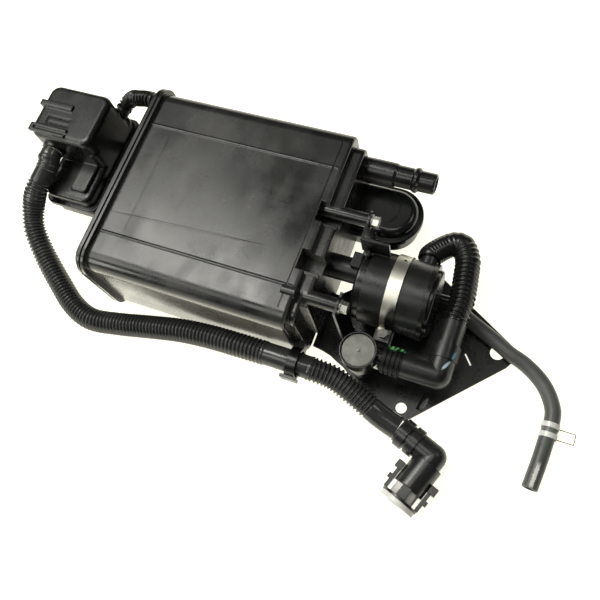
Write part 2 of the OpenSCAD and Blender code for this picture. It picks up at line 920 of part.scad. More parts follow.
module bracket_bolts() {
  color("#b7b9bb") {
    for (y = boss_ys) {
      x = x_ear + sheet_t;
      rod_x(x, x + 1.2, y, boss_z, 7);
      translate([x + 1.2, y, boss_z]) rotate([0, 90, 0]) cylinder(h = 6.5, r = hex_r, $fn = 6);
      rod_x(x - 22, x + 1, y, boss_z, bolt_r);
    }
  }
}

module boss_inserts() {
  color("#b08d4a") {
    for (y = boss_ys) {
      difference() {
        rod_x(x_end - 2, x_ear, y, boss_z, insert_r);
        rod_x(x_end - 3, x_ear + 1, y, boss_z, insert_bore);
      }
    }
  }
}

// Filter box with its tray and its pad

module filter_box_body() {
  w = box_wall;
  color("#191a1b") {
    difference() {
      union() {
        soft_block([box_x0, box_y0, overhang_low], [box_x1, box_y1, box_top], 12, 6);
        soft_block([tray_x0, box_y0, rim_split + 1], [box_x1, box_y1, box_top - 20], 8, 3);
        soft_block([tray_x0, tray_y0, rim_split], [box_x1, tray_y1, deck_top], 10, 5);
        soft_block(
          [tray_x0 - rim_out, tray_y0 - rim_out, rim_split],
          [box_x1 + rim_out, tray_y1 + rim_out, rim_top], 10, 1.5
        );
        soft_block([box_x1 - 27, tray_y0 + 10, deck_top - 6], [box_x1 - 6, box_y0 + 4, deck_top + 5], 4, 2);
        block([box_x0 - 1, box_y0 + 36, box_top - 6], [box_x0 + 40, box_y0 + 42.5, box_top + 2.5]);
        block([box_x0 + 1, box_y0 + 3, box_top - 2], [box_x0 + 47, box_y0 + 12.5, box_top + 2.5]);
        rod_y(nozzle_x, box_y0 - nozzle_l, box_y0 + 6, nozzle_z, 12.5);
        rod_y(box_nipple[0], box_y1 - 3, box_nipple[1] - 0.4, box_nipple[2], link_bore + 2.4);
      }
      soft_block([box_x0 + w, box_y0 + w, overhang_low + w], [box_x1 - w, box_y1 - w, box_top - w], 9.5, 3.5);
      soft_block([tray_x0 + w, box_y0 + w, rim_split - 1], [box_x1 - w, box_y1 - w, box_top - 22], 5.5, 1);
      soft_block(
        [tray_x0 + w, tray_y0 + w, rim_split - 1],
        [box_x1 - w, tray_y1 - w, deck_top - w], 5.5, 2.5
      );
      rod_y(nozzle_x, box_y0 - nozzle_l - 1, box_y0 + 7, nozzle_z, 9);
      rod_y(box_nipple[0], box_y1 - 4, box_nipple[1] + 1, box_nipple[2], 4);
      difference() {
        block([box_x0 + 15, box_y0 + 17, box_top - 1], [box_x0 + 44, box_y0 + 26, box_top + 1]);
        block([box_x0 + 16.5, box_y0 + 18.5, box_top - 2], [box_x0 + 45, box_y0 + 24.5, box_top + 2]);
      }
      block([box_x0 + 5, box_y0 + 6, box_top + 0.6], [box_x0 + 48, box_y0 + 9.5, box_top + 3]);
    }
  }
}

module filter_box_base() {
  w = box_wall;
  color("#1b1c1d") {
    difference() {
      union() {
        translate([0, 0, tray_low]) linear_extrude(rim_split - tray_low) tray_outline(0, 8);
        translate([0, 0, rim_low]) linear_extrude(rim_split - rim_low) tray_outline(rim_out, 10);
        for (y = arm_ys) {
          block([box_x1 - 1, y - 4, 16], [x_cover_out - 1.4, y + 4, 31]);
        }
      }
      translate([0, 0, tray_low + w]) linear_extrude(rim_split) tray_outline(-w, 5.5);
      for (i = [0:3]) {
        y = tray_y0 + 20 + 20 * i;
        block([tray_x0 + 12, y, tray_low - 1], [box_x1 - 12, y + 5, tray_low + w + 1]);
      }
    }
    for (x = [tray_x0 + 18, box_x1 - 18]) {
      block([x - 1.25, tray_y0 + 1, tray_low], [x + 1.25, tray_y1 - 1, tray_low + 8]);
    }
  }
}

// Outline of the box's lower part, made larger by out
module tray_outline(out, r) {
  translate([(tray_x0 + box_x1) / 2, (tray_y0 + tray_y1) / 2]) {
    rounded(box_x1 - tray_x0 + 2 * out, tray_y1 - tray_y0 + 2 * out, r);
  }
}

module filter_pad() {
  color("#77756c") {
    translate([0, 0, tray_low + 8]) {
      linear_extrude(deck_top - tray_low - 20) tray_outline(-box_wall - 0.5, 5);
    }
  }
}

// Hoses, clip and quick connector

module link_hose() {
  color("#151617") {
    difference() {
      path = evenly(link_route, 16);
      tube(path, [for (p = path) link_r], 12, end_ways(link_route));
      rod_y(box_nipple[0], box_nipple[1] - 5, box_nipple[1] + 2, box_nipple[2], 4);
    }
  }
}

module purge_hose() {
  color("#141516") {
    path = evenly(long_route, 44);
    tube(path, [for (p = path) long_r], 12, end_ways(long_route));
  }
}

module hose_clip() {
  y = clip_at[1];
  z = clip_at[2];
  color("#1a1b1c") {
    difference() {
      union() {
        rod_x(x_end + 1, x_step - 1, y, z, clip_bore + 2.6);
        block([x_end + 1, y, z - 7], [x_step - 1, -case_w / 2 + 8, z + 7]);
        block([x_end - 3, y - clip_bore - 4.6, z - 6], [x_step + 2, y - clip_bore - 1.6, z + 6]);
      }
      rod_x(x_end - 4, x_step + 3, y, z, clip_bore);
    }
  }
}

// Places what is drawn along X on the quick connector's neck
module along_neck() {
  translate(joint_in) rotate([0, 0, neck_turn]) children();
}

// Places what is drawn along X on the quick connector's outlet
module along_joint() {
  along_neck() translate([joint_l, 0, 0]) rotate([0, 0, -90]) children();
}

module connector_elbow() {
  color("#17181a") {
    difference() {
      union() {
        along_neck() rod_x(0, joint_l, 0, 0, joint_r);
        along_neck() rod_x(2.5, 11, 0, 0, joint_r + 2.2);
        along_neck() rod_x(14, 22.5, 0, 0, joint_r + 2.2);
        along_neck() translate([joint_l, 0, 0]) sphere(joint_r);
        along_joint() rod_x(0, 10, 0, 0, joint_r);
        along_joint() rod_x(8, window_start, 0, 0, joint_body_r);
        along_joint() cage();
        along_joint() rod_x(window_end, window_end + 2.5, 0, 0, 18.8);
      }
      along_joint() rod_x(16, window_end + 10, 0, 0, 12.5);
    }
  }
}

// Bars that carry the connector's end ring
module cage() {
  for (s = [-1, 1]) {
    block([window_start - 1, -4.6, s * 14.2 - 1.6], [window_end + 1, 4.6, s * 14.2 + 1.6]);
  }
}

module connector_retainer() {
  color("#dcdbd5") {
    along_joint() {
      difference() {
        union() {
          rod_x(window_start - 6, window_end + 4, 0, 0, 12.2);
          rod_x(window_end + 2.5, window_end + 7, 0, 0, 18);
        }
        rod_x(window_start - 7, window_end + 8, 0, 0, 10.2);
      }
    }
  }
}

module connector_latch() {
  color("#121314") {
    along_joint() {
      for (s = [-1, 1]) {
        block([21, s * 18.9 - 3.6, -6], [29, s * 18.9 + 3.6, 6]);
        block([28, s * 17.4 - 1.8, -5], [window_end, s * 17.4 + 1.8, 5]);
        block([36, s * 19.4 - 2.4, -5], [41, s * 19.4 + 2.4, 5]);
      }
    }
  }
}

module connector_seal() {
  color("#2a3a2c") {
    along_joint() {
      rotate([0, 90, 0]) translate([0, 0, 26]) rotate_extrude() translate([10.6, 0]) circle(1.6);
    }
  }
}

module drain_hose() {
  color("#151617") {
    path = evenly(drain_route, 32);
    tube(path, [for (p = path) drain_r], 12, end_ways(drain_route));
  }
}

module hose_tag() {
  color("#e4e4e0") {
    translate(tag_at) {
      difference() {
        rotate([90, 0, 0]) cylinder(h = tag_l, r = drain_r + 0.9, center = true);
        rotate([90, 0, 0]) cylinder(h = tag_l + 2, r = drain_r + 0.5, center = true);
      }
      block([drain_r + 0.6, -flag_w / 2, -5], [drain_r + flag_l, flag_w / 2, -4.4]);
      block([drain_r - 0.6, -flag_w / 2, -5], [drain_r + 1.2, flag_w / 2, -3]);
    }
  }
}

canister_case();
end_cover();
main_bed();
rear_bed();
front_bed();
main_port_pad();
rear_port_pad();
front_port_pad();
main_spring_pad();
rear_spring_pad();
front_spring_pad();
main_pressure_plate();
rear_pressure_plate();
front_pressure_plate();
bed_springs();
vapour_trap();
module_body();
module_left_cap();
module_right_cap();
module_filter();
module_connector();
vent_coupling();
band_clamp();
band_screw();
vent_valve();
valve_cap();
valve_sleeve();
valve_elbow();
loop_hose();
module_bracket();
bracket_bolts();
boss_inserts();
filter_box_body();
filter_box_base();
filter_pad();
link_hose();
purge_hose();
hose_clip();
connector_elbow();
connector_retainer();
connector_latch();
connector_seal();
drain_hose();
hose_tag();
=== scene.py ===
"""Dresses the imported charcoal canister: camera, light, hoses, small fittings and finishes."""

import logging
import math
from dataclasses import dataclass, field
from enum import Enum
from typing import Sequence

import bpy
import numpy as np
from mathutils import Matrix, Vector


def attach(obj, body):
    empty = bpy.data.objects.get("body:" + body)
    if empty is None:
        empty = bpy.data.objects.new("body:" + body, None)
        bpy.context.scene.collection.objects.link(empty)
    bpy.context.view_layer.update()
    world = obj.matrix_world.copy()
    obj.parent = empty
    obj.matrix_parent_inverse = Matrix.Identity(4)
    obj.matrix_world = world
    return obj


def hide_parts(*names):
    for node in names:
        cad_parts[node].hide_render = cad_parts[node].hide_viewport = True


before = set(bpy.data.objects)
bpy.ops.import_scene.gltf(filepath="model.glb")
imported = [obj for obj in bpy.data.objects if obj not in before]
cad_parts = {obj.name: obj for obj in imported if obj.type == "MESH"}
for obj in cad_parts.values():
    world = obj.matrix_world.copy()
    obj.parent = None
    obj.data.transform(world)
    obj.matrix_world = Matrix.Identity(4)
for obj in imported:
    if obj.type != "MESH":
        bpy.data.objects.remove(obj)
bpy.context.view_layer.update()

LOG = logging.getLogger("canister")
MM = 0.001
BODY = "root"

Colour = tuple[float, float, float]
Point = tuple[float, float, float]
Span = tuple[float, float]
Socket = bpy.types.NodeSocket

# Grey levels of noise between which each pattern comes in
HAZE_SPAN: Span = (0.42, 0.72)
CLOUD_SPAN: Span = (0.35, 0.68)
STREAK_SPAN: Span = (0.5, 0.8)
RAG_SPAN: Span = (0.3, 0.7)
WEAR_SPAN: Span = (0.35, 0.7)
SMEAR_SPAN: Span = (0.45, 0.75)

# Noise cells per metre, and how much finer the clouds of the gloss are than the haze
RAG_CELLS = 900.0
WEAR_CELLS = 700.0
STREAK_CELLS = 520.0
SMEAR_CELLS = 160.0
FILM_CELLS = 90.0
CLOUD_FINER = 2.3

# How noise is drawn out: clouds towards the back, streaks along the case
CLOUD_STRETCH: Point = (1, 0.6, 1)
STREAK_STRETCH: Point = (0.02, 1, 1)

# Painted floor reflection, pale cream, under a glossy coat on walls that face the front, and duller walls
# that face right
FRONT_SPAN: Span = (-0.985, -0.88)
FRONT_REFLECTION_PAINT: Colour = (0.17, 0.165, 0.138)
FRONT_REFLECTION_SHARE = 0.8
FRONT_ROUGHER = 0.06
FILM_ROUGHNESS = 0.2
RIGHT_SPAN: Span = (0.3, 0.6)
RIGHT_SHINE = 0.06

# Rim of a mark in parts of its size, height of a ridge in metres, and rays of a soft edge
MARK_RIM: Span = (0.8, 1.1)
RIDGE_HEIGHT = 0.0004
EDGE_SAMPLES = 8

# Samples of a smooth curve between two of its points
CURVE_CUTS = 40


class Look(Enum):
    """Kinds of surface that the object shows."""

    MOULDED = "moulded"
    RUBBER = "rubber"
    METAL = "metal"
    PAINT = "paint"
    FIBRE = "fibre"


LOOK_VALUES: dict[Look, dict[str, float]] = {
    Look.MOULDED: {},
    Look.RUBBER: {"Sheen Weight": 0.02},
    Look.METAL: {"Metallic": 1.0},
    Look.PAINT: {"Coat Weight": 0.25, "Coat Roughness": 0.2},
    Look.FIBRE: {"Sheen Weight": 0.2},
}


class NodeBoard:
    """Thin helper around a node tree."""

    def __init__(self, tree: bpy.types.NodeTree) -> None:
        """Keeps the tree."""
        self.tree = tree

    def add(self, kind: str, **values: object) -> bpy.types.Node:
        """Adds a node.

        Args:
            kind: Blender's name of the node type.
            values: attributes to set on the node.

        Returns:
            The new node.
        """
        node = self.tree.nodes.new(kind)
        for key, value in values.items():
            setattr(node, key, value)
        return node

    def join(self, source: Socket, target: Socket) -> None:
        """Links two sockets."""
        self.tree.links.new(source, target)

    def part(self, vector: Socket, axis: str) -> Socket:
        """One coordinate of a vector.

        Args:
            vector: the vector.
            axis: X, Y or Z.

        Returns:
            The coordinate.
        """
        node = self.add("ShaderNodeSeparateXYZ")
        self.join(vector, node.inputs["Vector"])
        return node.outputs[axis]

    def spread(self, value: Socket, low: float, high: float, start: float, end: float) -> Socket:
        """Maps a grey value from one range onto another, without overshoot.

        Args:
            value: the grey value.
            low: value that becomes the start.
            high: value that becomes the end.
            start: result at the low value.
            end: result at the high value.

        Returns:
            The mapped value.
        """
        node = self.add("ShaderNodeMapRange")
        self.join(value, node.inputs["Value"])
        node.inputs["From Min"].default_value = low
        node.inputs["From Max"].default_value = high
        node.inputs["To Min"].default_value = start
        node.inputs["To Max"].default_value = end
        return node.outputs["Result"]

    def reckon(self, operation: str, first: Socket, second: Socket | float) -> Socket:
        """Combines two grey values, or a value and a number.

        Args:
            operation: Blender's name of the sum.
            first: the first value.
            second: the second value or number.

        Returns:
            The result.
        """
        node = self.add("ShaderNodeMath", operation=operation)
        self.join(first, node.inputs[0])
        if isinstance(second, float):
            node.inputs[1].default_value = second
        else:
            self.join(second, node.inputs[1])
        return node.outputs["Value"]


class NodeSheet(NodeBoard):
    """Node tree of one material, with its shader and the object's own coordinates."""

    def __init__(self, name: str) -> None:
        """Starts a material with only a principled shader.

        Args:
            name: name of the material.
        """
        self.material = bpy.data.materials.new(name)
        self.material.use_nodes = True
        super().__init__(self.material.node_tree)
        self.tree.nodes.clear()
        self.shader = self.add("ShaderNodeBsdfPrincipled")
        output = self.add("ShaderNodeOutputMaterial")
        self.join(self.shader.outputs["BSDF"], output.inputs["Surface"])
        self.coords = self.add("ShaderNodeTexCoord")
        self.place = self.coords.outputs["Object"]

    def noise(self, scale: float, detail: float = 4.0, stretch: Point = (1, 1, 1)) -> Socket:
        """Noise over the object's own coordinates.

        Args:
            scale: cells per metre.
            detail: octaves of finer noise.
            stretch: factor on each axis, below 1 draws the pattern out.

        Returns:
            The noise's grey value.
        """
        mapping = self.add("ShaderNodeMapping")
        mapping.inputs["Scale"].default_value = stretch
        self.join(self.place, mapping.inputs["Vector"])
        noise = self.add("ShaderNodeTexNoise")
        noise.inputs["Scale"].default_value = scale
        noise.inputs["Detail"].default_value = detail
        self.join(mapping.outputs["Vector"], noise.inputs["Vector"])
        return noise.outputs["Fac"]

    def blend(self, factor: Socket, first: Colour | Socket, second: Colour) -> Socket:
        """Mixes a colour, or what is already painted, with a second colour.

        Args:
            factor: share of the second colour.
            first: the first colour, or a socket that gives it.
            second: the second colour.

        Returns:
            The mixed colour.
        """
        node = self.add("ShaderNodeMix", data_type="RGBA")
        self.join(factor, node.inputs["Factor"])
        if isinstance(first, tuple):
            node.inputs["A"].default_value = (*first, 1)
        else:
            self.join(first, node.inputs["A"])
        node.inputs["B"].default_value = (*second, 1)
        return node.outputs["Result"]

    def spot(self, mark: "Mark") -> Socket:
        """Grey value of a mark: its share inside its turned ellipsoid, ragged at the rim, and 0 outside.

        Args:
            mark: the mark.

        Returns:
            The grey value.
        """
        mapping = self.add("ShaderNodeMapping", vector_type="TEXTURE")
        mapping.inputs["Location"].default_value = [value * MM for value in mark.at]
        mapping.inputs["Rotation"].default_value = (0, 0, math.radians(mark.turn))
        mapping.inputs["Scale"].default_value = [value * MM for value in mark.size]
        self.join(self.place, mapping.inputs["Vector"])
        length = self.add("ShaderNodeVectorMath", operation="LENGTH")
        self.join(mapping.outputs["Vector"], length.inputs[0])
        ragged = self.spread(self.noise(RAG_CELLS, detail=3.0), *RAG_SPAN, 0.0, mark.ragged)
        out = self.reckon("ADD", length.outputs["Value"], ragged)
        return self.spread(out, *MARK_RIM, mark.share, 0.0)

    def soft_edges(self, radius: float) -> Socket:
        """Normal with edges rounded by a radius.

        Args:
            radius: the radius in metres.

        Returns:
            The normal.
        """
        node = self.add("ShaderNodeBevel", samples=EDGE_SAMPLES)
        node.inputs["Radius"].default_value = radius
        return node.outputs["Normal"]

    def bump(self, height: Socket, depth: float, normal: Socket | None = None) -> Socket:
        """Raises the surface by a grey value times a depth.

        Args:
            height: the grey value.
            depth: the depth in metres.
            normal: normal to start from, or none for the mesh's own.

        Returns:
            The new normal.
        """
        node = self.add("ShaderNodeBump")
        node.inputs["Distance"].default_value = depth
        self.join(height, node.inputs["Height"])
        if normal is not None:
            self.join(normal, node.inputs["Normal"])
        return node.outputs["Normal"]


@dataclass(frozen=True)
class Mark:
    """Dab of paint, smear, spot, painted highlight or painted shade: an ellipsoid in millimetres, turned
    about Z, its colour and strength.
    """

    at: Point
    size: Point
    colour: Colour
    turn: float = 0.0
    share: float = 0.9
    ragged: float = 0.35


@dataclass(frozen=True)
class Stripe:
    """Printed stripe on a hose, by its UV map: middle and half width round it, start and end along it.

    The rims are worn by a part of the half width, and the ends fade over a length in metres.
    """

    middle: float
    half: float
    start: float
    end: float
    colour: Colour
    share: float = 0.9
    worn: float = 0.5
    rim: float = 1.15
    fade_in: float = 0.006
    fade_out: float = 0.004


@dataclass(frozen=True)
class Finish:
    """One finish: its colours, haze, gloss, brush marks, grain, soft edges and marks."""

    name: str
    look: Look
    colour: Colour
    haze: Colour
    haze_share: float = 0.35
    gloss: Span = (0.35, 0.5)
    patch: float = 26.0
    grain: float = 900.0
    grain_depth: float = 0.00004
    edge: float = 0.0007
    brush: float = 0.0
    shine: float = 0.5
    # Coat weight on walls that face the front; above 0 it also paints a floor reflection there
    front_film: float = 0.0
    dull_right: bool = False
    marks: tuple[Mark, ...] = ()
    ridges: tuple[Mark, ...] = ()
    stripe: Stripe | None = None

    def build(self) -> bpy.types.Material:
        """Makes the material.

        Returns:
            The finished material.
        """
        sheet = NodeSheet(self.name)
        sheet.join(self.paint(sheet), sheet.shader.inputs["Base Color"])
        sheet.join(self.polish(sheet), sheet.shader.inputs["Roughness"])
        sheet.join(self.relief(sheet), sheet.shader.inputs["Normal"])
        self.set_look(sheet.shader)
        if self.front_film > 0:
            sheet.join(self.front_mask(sheet, self.front_film), sheet.shader.inputs["Coat Weight"])
            sheet.shader.inputs["Coat Roughness"].default_value = FILM_ROUGHNESS
        if self.dull_right:
            right = sheet.part(sheet.coords.outputs["Normal"], "X")
            dull = sheet.spread(right, *RIGHT_SPAN, self.shine, RIGHT_SHINE)
            sheet.join(dull, sheet.shader.inputs["Specular IOR Level"])
        return sheet.material

    def front_mask(self, sheet: NodeSheet, share: float) -> Socket:
        """Grey value that is the share on walls that face the front, and 0 elsewhere."""
        return sheet.spread(sheet.part(sheet.coords.outputs["Normal"], "Y"), *FRONT_SPAN, share, 0.0)

    def paint(self, sheet: NodeSheet) -> Socket:
        """Colour: the base, hazy patches, a painted floor reflection on the front walls, then the marks,
        among them painted highlights and painted shade, and the stripe.

        Args:
            sheet: the material being made.

        Returns:
            The colour.
        """
        share = sheet.spread(sheet.noise(self.patch, detail=6.0), *HAZE_SPAN, 0.0, self.haze_share)
        colour = sheet.blend(share, self.colour, self.haze)
        if self.front_film > 0:
            # Painted floor reflection: pale cream on walls that face the front
            colour = sheet.blend(self.front_mask(sheet, FRONT_REFLECTION_SHARE), colour, FRONT_REFLECTION_PAINT)
        for mark in self.marks:
            colour = sheet.blend(sheet.spot(mark), colour, mark.colour)
        if self.stripe is not None:
            colour = sheet.blend(self.stripe_mask(sheet, self.stripe), colour, self.stripe.colour)
        return colour

    def stripe_mask(self, sheet: NodeSheet, stripe: Stripe) -> Socket:
        """Grey value that is the share inside the stripe, from the hose's own UV map, with worn rims.

        Args:
            sheet: the material being made.
            stripe: the stripe.

        Returns:
            The grey value.
        """
        turn = sheet.part(sheet.coords.outputs["UV"], "X")
        along = sheet.part(sheet.coords.outputs["UV"], "Y")
        off = sheet.reckon("ABSOLUTE", sheet.reckon("SUBTRACT", turn, stripe.middle), 0.0)
        worn = sheet.spread(sheet.noise(WEAR_CELLS, detail=3.0), *WEAR_SPAN, 0.0, stripe.half * stripe.worn)
        out = sheet.reckon("ADD", off, worn)
        across = sheet.spread(out, stripe.half, stripe.half * stripe.rim, stripe.share, 0.0)
        after = sheet.spread(along, stripe.start, stripe.start + stripe.fade_in, 0.0, 1.0)
        before = sheet.spread(along, stripe.end, stripe.end + stripe.fade_out, 1.0, 0.0)
        return sheet.reckon("MULTIPLY", across, sheet.reckon("MULTIPLY", after, before))

    def polish(self, sheet: NodeSheet) -> Socket:
        """Roughness: cloudy between two values, with fine streaks along the part where it is brushed.

        Args:
            sheet: the material being made.

        Returns:
            The roughness.
        """
        cloud = sheet.noise(self.patch * CLOUD_FINER, detail=5.0, stretch=CLOUD_STRETCH)
        rough = sheet.spread(cloud, *CLOUD_SPAN, *self.gloss)
        if self.brush > 0:
            streaks = sheet.noise(STREAK_CELLS, detail=3.0, stretch=STREAK_STRETCH)
            rough = sheet.reckon("ADD", rough, sheet.spread(streaks, *STREAK_SPAN, 0.0, self.brush))
        if self.front_film > 0:
            rough = sheet.reckon("ADD", rough, self.front_mask(sheet, FRONT_ROUGHER))
        return rough

    def relief(self, sheet: NodeSheet) -> Socket:
        """Normal: soft edges, faint ridges, then the grain.

        Args:
            sheet: the material being made.

        Returns:
            The normal.
        """
        normal = sheet.soft_edges(self.edge) if self.edge > 0 else None
        for ridge in self.ridges:
            normal = sheet.bump(sheet.spot(ridge), RIDGE_HEIGHT, normal)
        return sheet.bump(sheet.noise(self.grain, detail=3.0), self.grain_depth, normal)

    def set_look(self, shader: bpy.types.Node) -> None:
        """Sets the plain values that the kind of surface asks for.

        Args:
            shader: the material's shader.
        """
        shader.inputs["Specular IOR Level"].default_value = self.shine
        for key, value in LOOK_VALUES[self.look].items():
            shader.inputs[key].default_value = value


@dataclass(frozen=True)
class TagFinish:
    """Clear film of the tag: white bands round the hose, a clear flag with a duller rim, in millimetres."""

    name: str = "tag_film"
    middle: Point = (354.8, -98.8, 9.0)
    wrap: float = 8.5
    bare: float = 2.2
    flag_end: float = 379.3
    flag_half: float = 5.5
    rim_width: float = 0.9
    soft: float = 0.2
    white: Colour = (0.85, 0.85, 0.82)
    rim: Colour = (0.2, 0.22, 0.2)
    rim_share: float = 0.85
    density: Span = (0.03, 0.95)
    smear: float = 0.06
    gloss: Span = (0.12, 0.28)

    def build(self) -> bpy.types.Material:
        """Makes the film: white and dense in the bands, nearly clear in the flag, grey along its rim.

        Returns:
            The finished material.
        """
        sheet = NodeSheet(self.name)
        along = sheet.part(sheet.place, "X")
        across = sheet.part(sheet.place, "Y")
        off = sheet.reckon("ABSOLUTE", sheet.reckon("SUBTRACT", across, self.middle[1] * MM), 0.0)
        reach = self.middle[0] + self.wrap
        near = self.past(sheet, along, reach, True)
        band = sheet.reckon("MULTIPLY", self.past(sheet, off, self.bare), near)
        sides = self.past(sheet, off, self.flag_half - self.rim_width)
        end = self.past(sheet, along, self.flag_end - self.rim_width)
        far = self.past(sheet, along, reach)
        border = sheet.reckon("MULTIPLY", sheet.reckon("MAXIMUM", sides, end), far)
        dense = sheet.reckon("MAXIMUM", band, sheet.reckon("MULTIPLY", border, self.rim_share))
        smear = sheet.spread(sheet.noise(SMEAR_CELLS), *SMEAR_SPAN, 0.0, self.smear)
        alpha = sheet.reckon("ADD", sheet.spread(dense, 0.0, 1.0, *self.density), smear)
        sheet.join(alpha, sheet.shader.inputs["Alpha"])
        sheet.join(sheet.blend(border, self.white, self.rim), sheet.shader.inputs["Base Color"])
        rough = sheet.spread(sheet.noise(FILM_CELLS), *WEAR_SPAN, *self.gloss)
        sheet.join(rough, sheet.shader.inputs["Roughness"])
        return sheet.material

    def past(self, sheet: NodeSheet, value: Socket, edge: float, before: bool = False) -> Socket:
        """Grey value that is 1 past an edge in millimetres, or before it, with a soft border.

        Args:
            sheet: the material being made.
            value: the distance in metres to look at.
            edge: where the border lies, in millimetres.
            before: whether the near side counts and not the far one.

        Returns:
            The grey value.
        """
        start, stop = (1.0, 0.0) if before else (0.0, 1.0)
        return sheet.spread(value, edge * MM, (edge + self.soft) * MM, start, stop)


# Faint ridges on the case's top
SINK_LINES = (
    Mark((-20, -40, 112), (84, 1.1, 6), (0, 0, 0), 3.0, 0.35, 0.1),
    Mark((-79, -8, 112), (1.1, 66, 6), (0, 0, 0), 0.0, 0.22, 0.1),
)
# Green paint dabs on the sleeve
SLEEVE_DABS = (
    Mark((200.4, -79.2, 61.5), (5.6, 5.8, 7.0), (0.16, 0.48, 0.19), 0.0, 1.0, 0.25),
    Mark((209.2, -78.6, 60.5), (3.8, 5.4, 7.0), (0.13, 0.41, 0.16), 0.0, 1.0, 0.25),
)
# Pale and dark blue paint dabs on the elbow
ELBOW_DABS = (
    Mark((250.6, -82.2, 65.0), (7.0, 1.7, 4.0), (0.52, 0.68, 0.78), 62.0, 1.0, 0.35),
    Mark((254.6, -71.5, 63.4), (5.6, 1.4, 3.6), (0.12, 0.30, 0.44), 76.0, 1.0, 0.4),
)
# Painted highlights on the filter box's top: lighter rib tops, where the raised ribs catch the light
BOX_RIB_HIGHLIGHTS = (
    Mark((-230.5, 61.2, 103.0), (32, 8, 1.3), (0.05, 0.05, 0.046), 0.0, 0.7, 0.1),
    Mark((-226.0, 29.7, 103.0), (34, 9, 1.3), (0.05, 0.05, 0.046), 0.0, 0.7, 0.1),
)
# Painted highlight on the base plate, in place of the lit face of a raised dart
PLATE_DART_HIGHLIGHT = (
    Mark((238.2, -110.0, 2.5), (8.5, 2.3, 4.0), (0.24, 0.24, 0.22), 71.0, 0.85, 0.15),
)
# Greenish smears on the drain hose by its tag
DRAIN_DABS = (
    Mark((355.4, -113.4, 16.0), (2.6, 5.2, 3.0), (0.06, 0.13, 0.06), 0.0, 0.5, 0.5),
    Mark((357.4, -99.0, 15.0), (3.0, 6.0, 3.0), (0.08, 0.16, 0.08), 0.0, 0.5, 0.5),
)
# Lighter spot at the middle of the valve's disc
DISC_SPOT = (Mark((170.6, -94.2, 69.2), (2.4, 2.4, 1.2), (0.42, 0.42, 0.38), 0.0, 0.7, 0.3),)
# Painted shade on the band: dark patches on its lower part, where the steel reflects dark surroundings
BAND_PAINTED_SHADE = (
    Mark((190.0, -57.0, 62.0), (7.0, 18.0, 26.0), (0.035, 0.036, 0.033), 0.0, 0.95, 0.15),
    Mark((185.5, -70.0, 50.0), (12.0, 9.5, 8.0), (0.035, 0.036, 0.033), 0.0, 0.95, 0.15),
)

# The case's front walls carry the painted floor reflection
CASE = Finish(
    "case_plastic", Look.MOULDED, (0.009, 0.0095, 0.0086), (0.07, 0.0695, 0.062),
    haze_share=0.55, gloss=(0.14, 0.33), patch=17.0, brush=0.03, ridges=SINK_LINES, edge=0.0009,
    front_film=1.0,
)
# The box's marks are painted highlights on its rib tops
BOX = Finish(
    "box_plastic", Look.MOULDED, (0.008, 0.0088, 0.0082), (0.026, 0.026, 0.023),
    haze_share=0.4, gloss=(0.2, 0.32), brush=0.03, edge=0.0035, dull_right=True, marks=BOX_RIB_HIGHLIGHTS,
)
BLACK = Finish(
    "black_plastic", Look.MOULDED, (0.006, 0.007, 0.0065), (0.02, 0.02, 0.018),
    haze_share=0.3, gloss=(0.20, 0.32), patch=40.0,
)
TRAP = Finish(
    "trap_plastic", Look.MOULDED, (0.006, 0.0078, 0.007), (0.02, 0.02, 0.018),
    haze_share=0.3, gloss=(0.14, 0.24), patch=30.0,
)
MODULE = Finish(
    "module_plastic", Look.MOULDED, (0.013, 0.0138, 0.0125), (0.03, 0.03, 0.027),
    gloss=(0.26, 0.38), patch=30.0,
)
NECK = Finish(
    "connector_plastic", Look.MOULDED, (0.018, 0.019, 0.018), (0.04, 0.04, 0.036),
    haze_share=0.3, gloss=(0.22, 0.34), patch=45.0,
)
HOSE = Finish(
    "hose_plastic", Look.RUBBER, (0.034, 0.036, 0.0345), (0.075, 0.0765, 0.071),
    haze_share=0.45, gloss=(0.12, 0.22), patch=45.0, edge=0.0,
)
LOOP_SKIN = Finish(
    "loop_plastic", Look.RUBBER, (0.007, 0.0078, 0.0073), (0.024, 0.024, 0.022),
    haze_share=0.35, gloss=(0.18, 0.26), patch=45.0, edge=0.0,
)
RUBBER = Finish(
    "soft_rubber", Look.RUBBER, (0.008, 0.009, 0.0085), (0.03, 0.03, 0.027),
    haze_share=0.4, gloss=(0.28, 0.42), patch=40.0, edge=0.0, marks=ELBOW_DABS,
)
SLEEVE = Finish(
    "sleeve_rubber", Look.RUBBER, (0.004, 0.0048, 0.0043), (0.014, 0.014, 0.013),
    haze_share=0.3, gloss=(0.4, 0.55), patch=40.0, edge=0.0004, shine=0.25, marks=SLEEVE_DABS,
)
# Seam bead in a lighter grey than the elbow: a painted highlight along the moulding seam
SEAM_PAINTED_HIGHLIGHT = Finish(
    "seam_painted_highlight", Look.RUBBER, (0.07, 0.072, 0.068), (0.13, 0.13, 0.12),
    haze_share=0.5, gloss=(0.3, 0.44), patch=120.0, edge=0.0,
)
# The plate's mark is a painted highlight
PLATE = Finish(
    "bracket_paint", Look.PAINT, (0.006, 0.0076, 0.0068), (0.02, 0.02, 0.018),
    haze_share=0.3, gloss=(0.24, 0.36), patch=34.0, brush=0.04, marks=PLATE_DART_HIGHLIGHT,
)
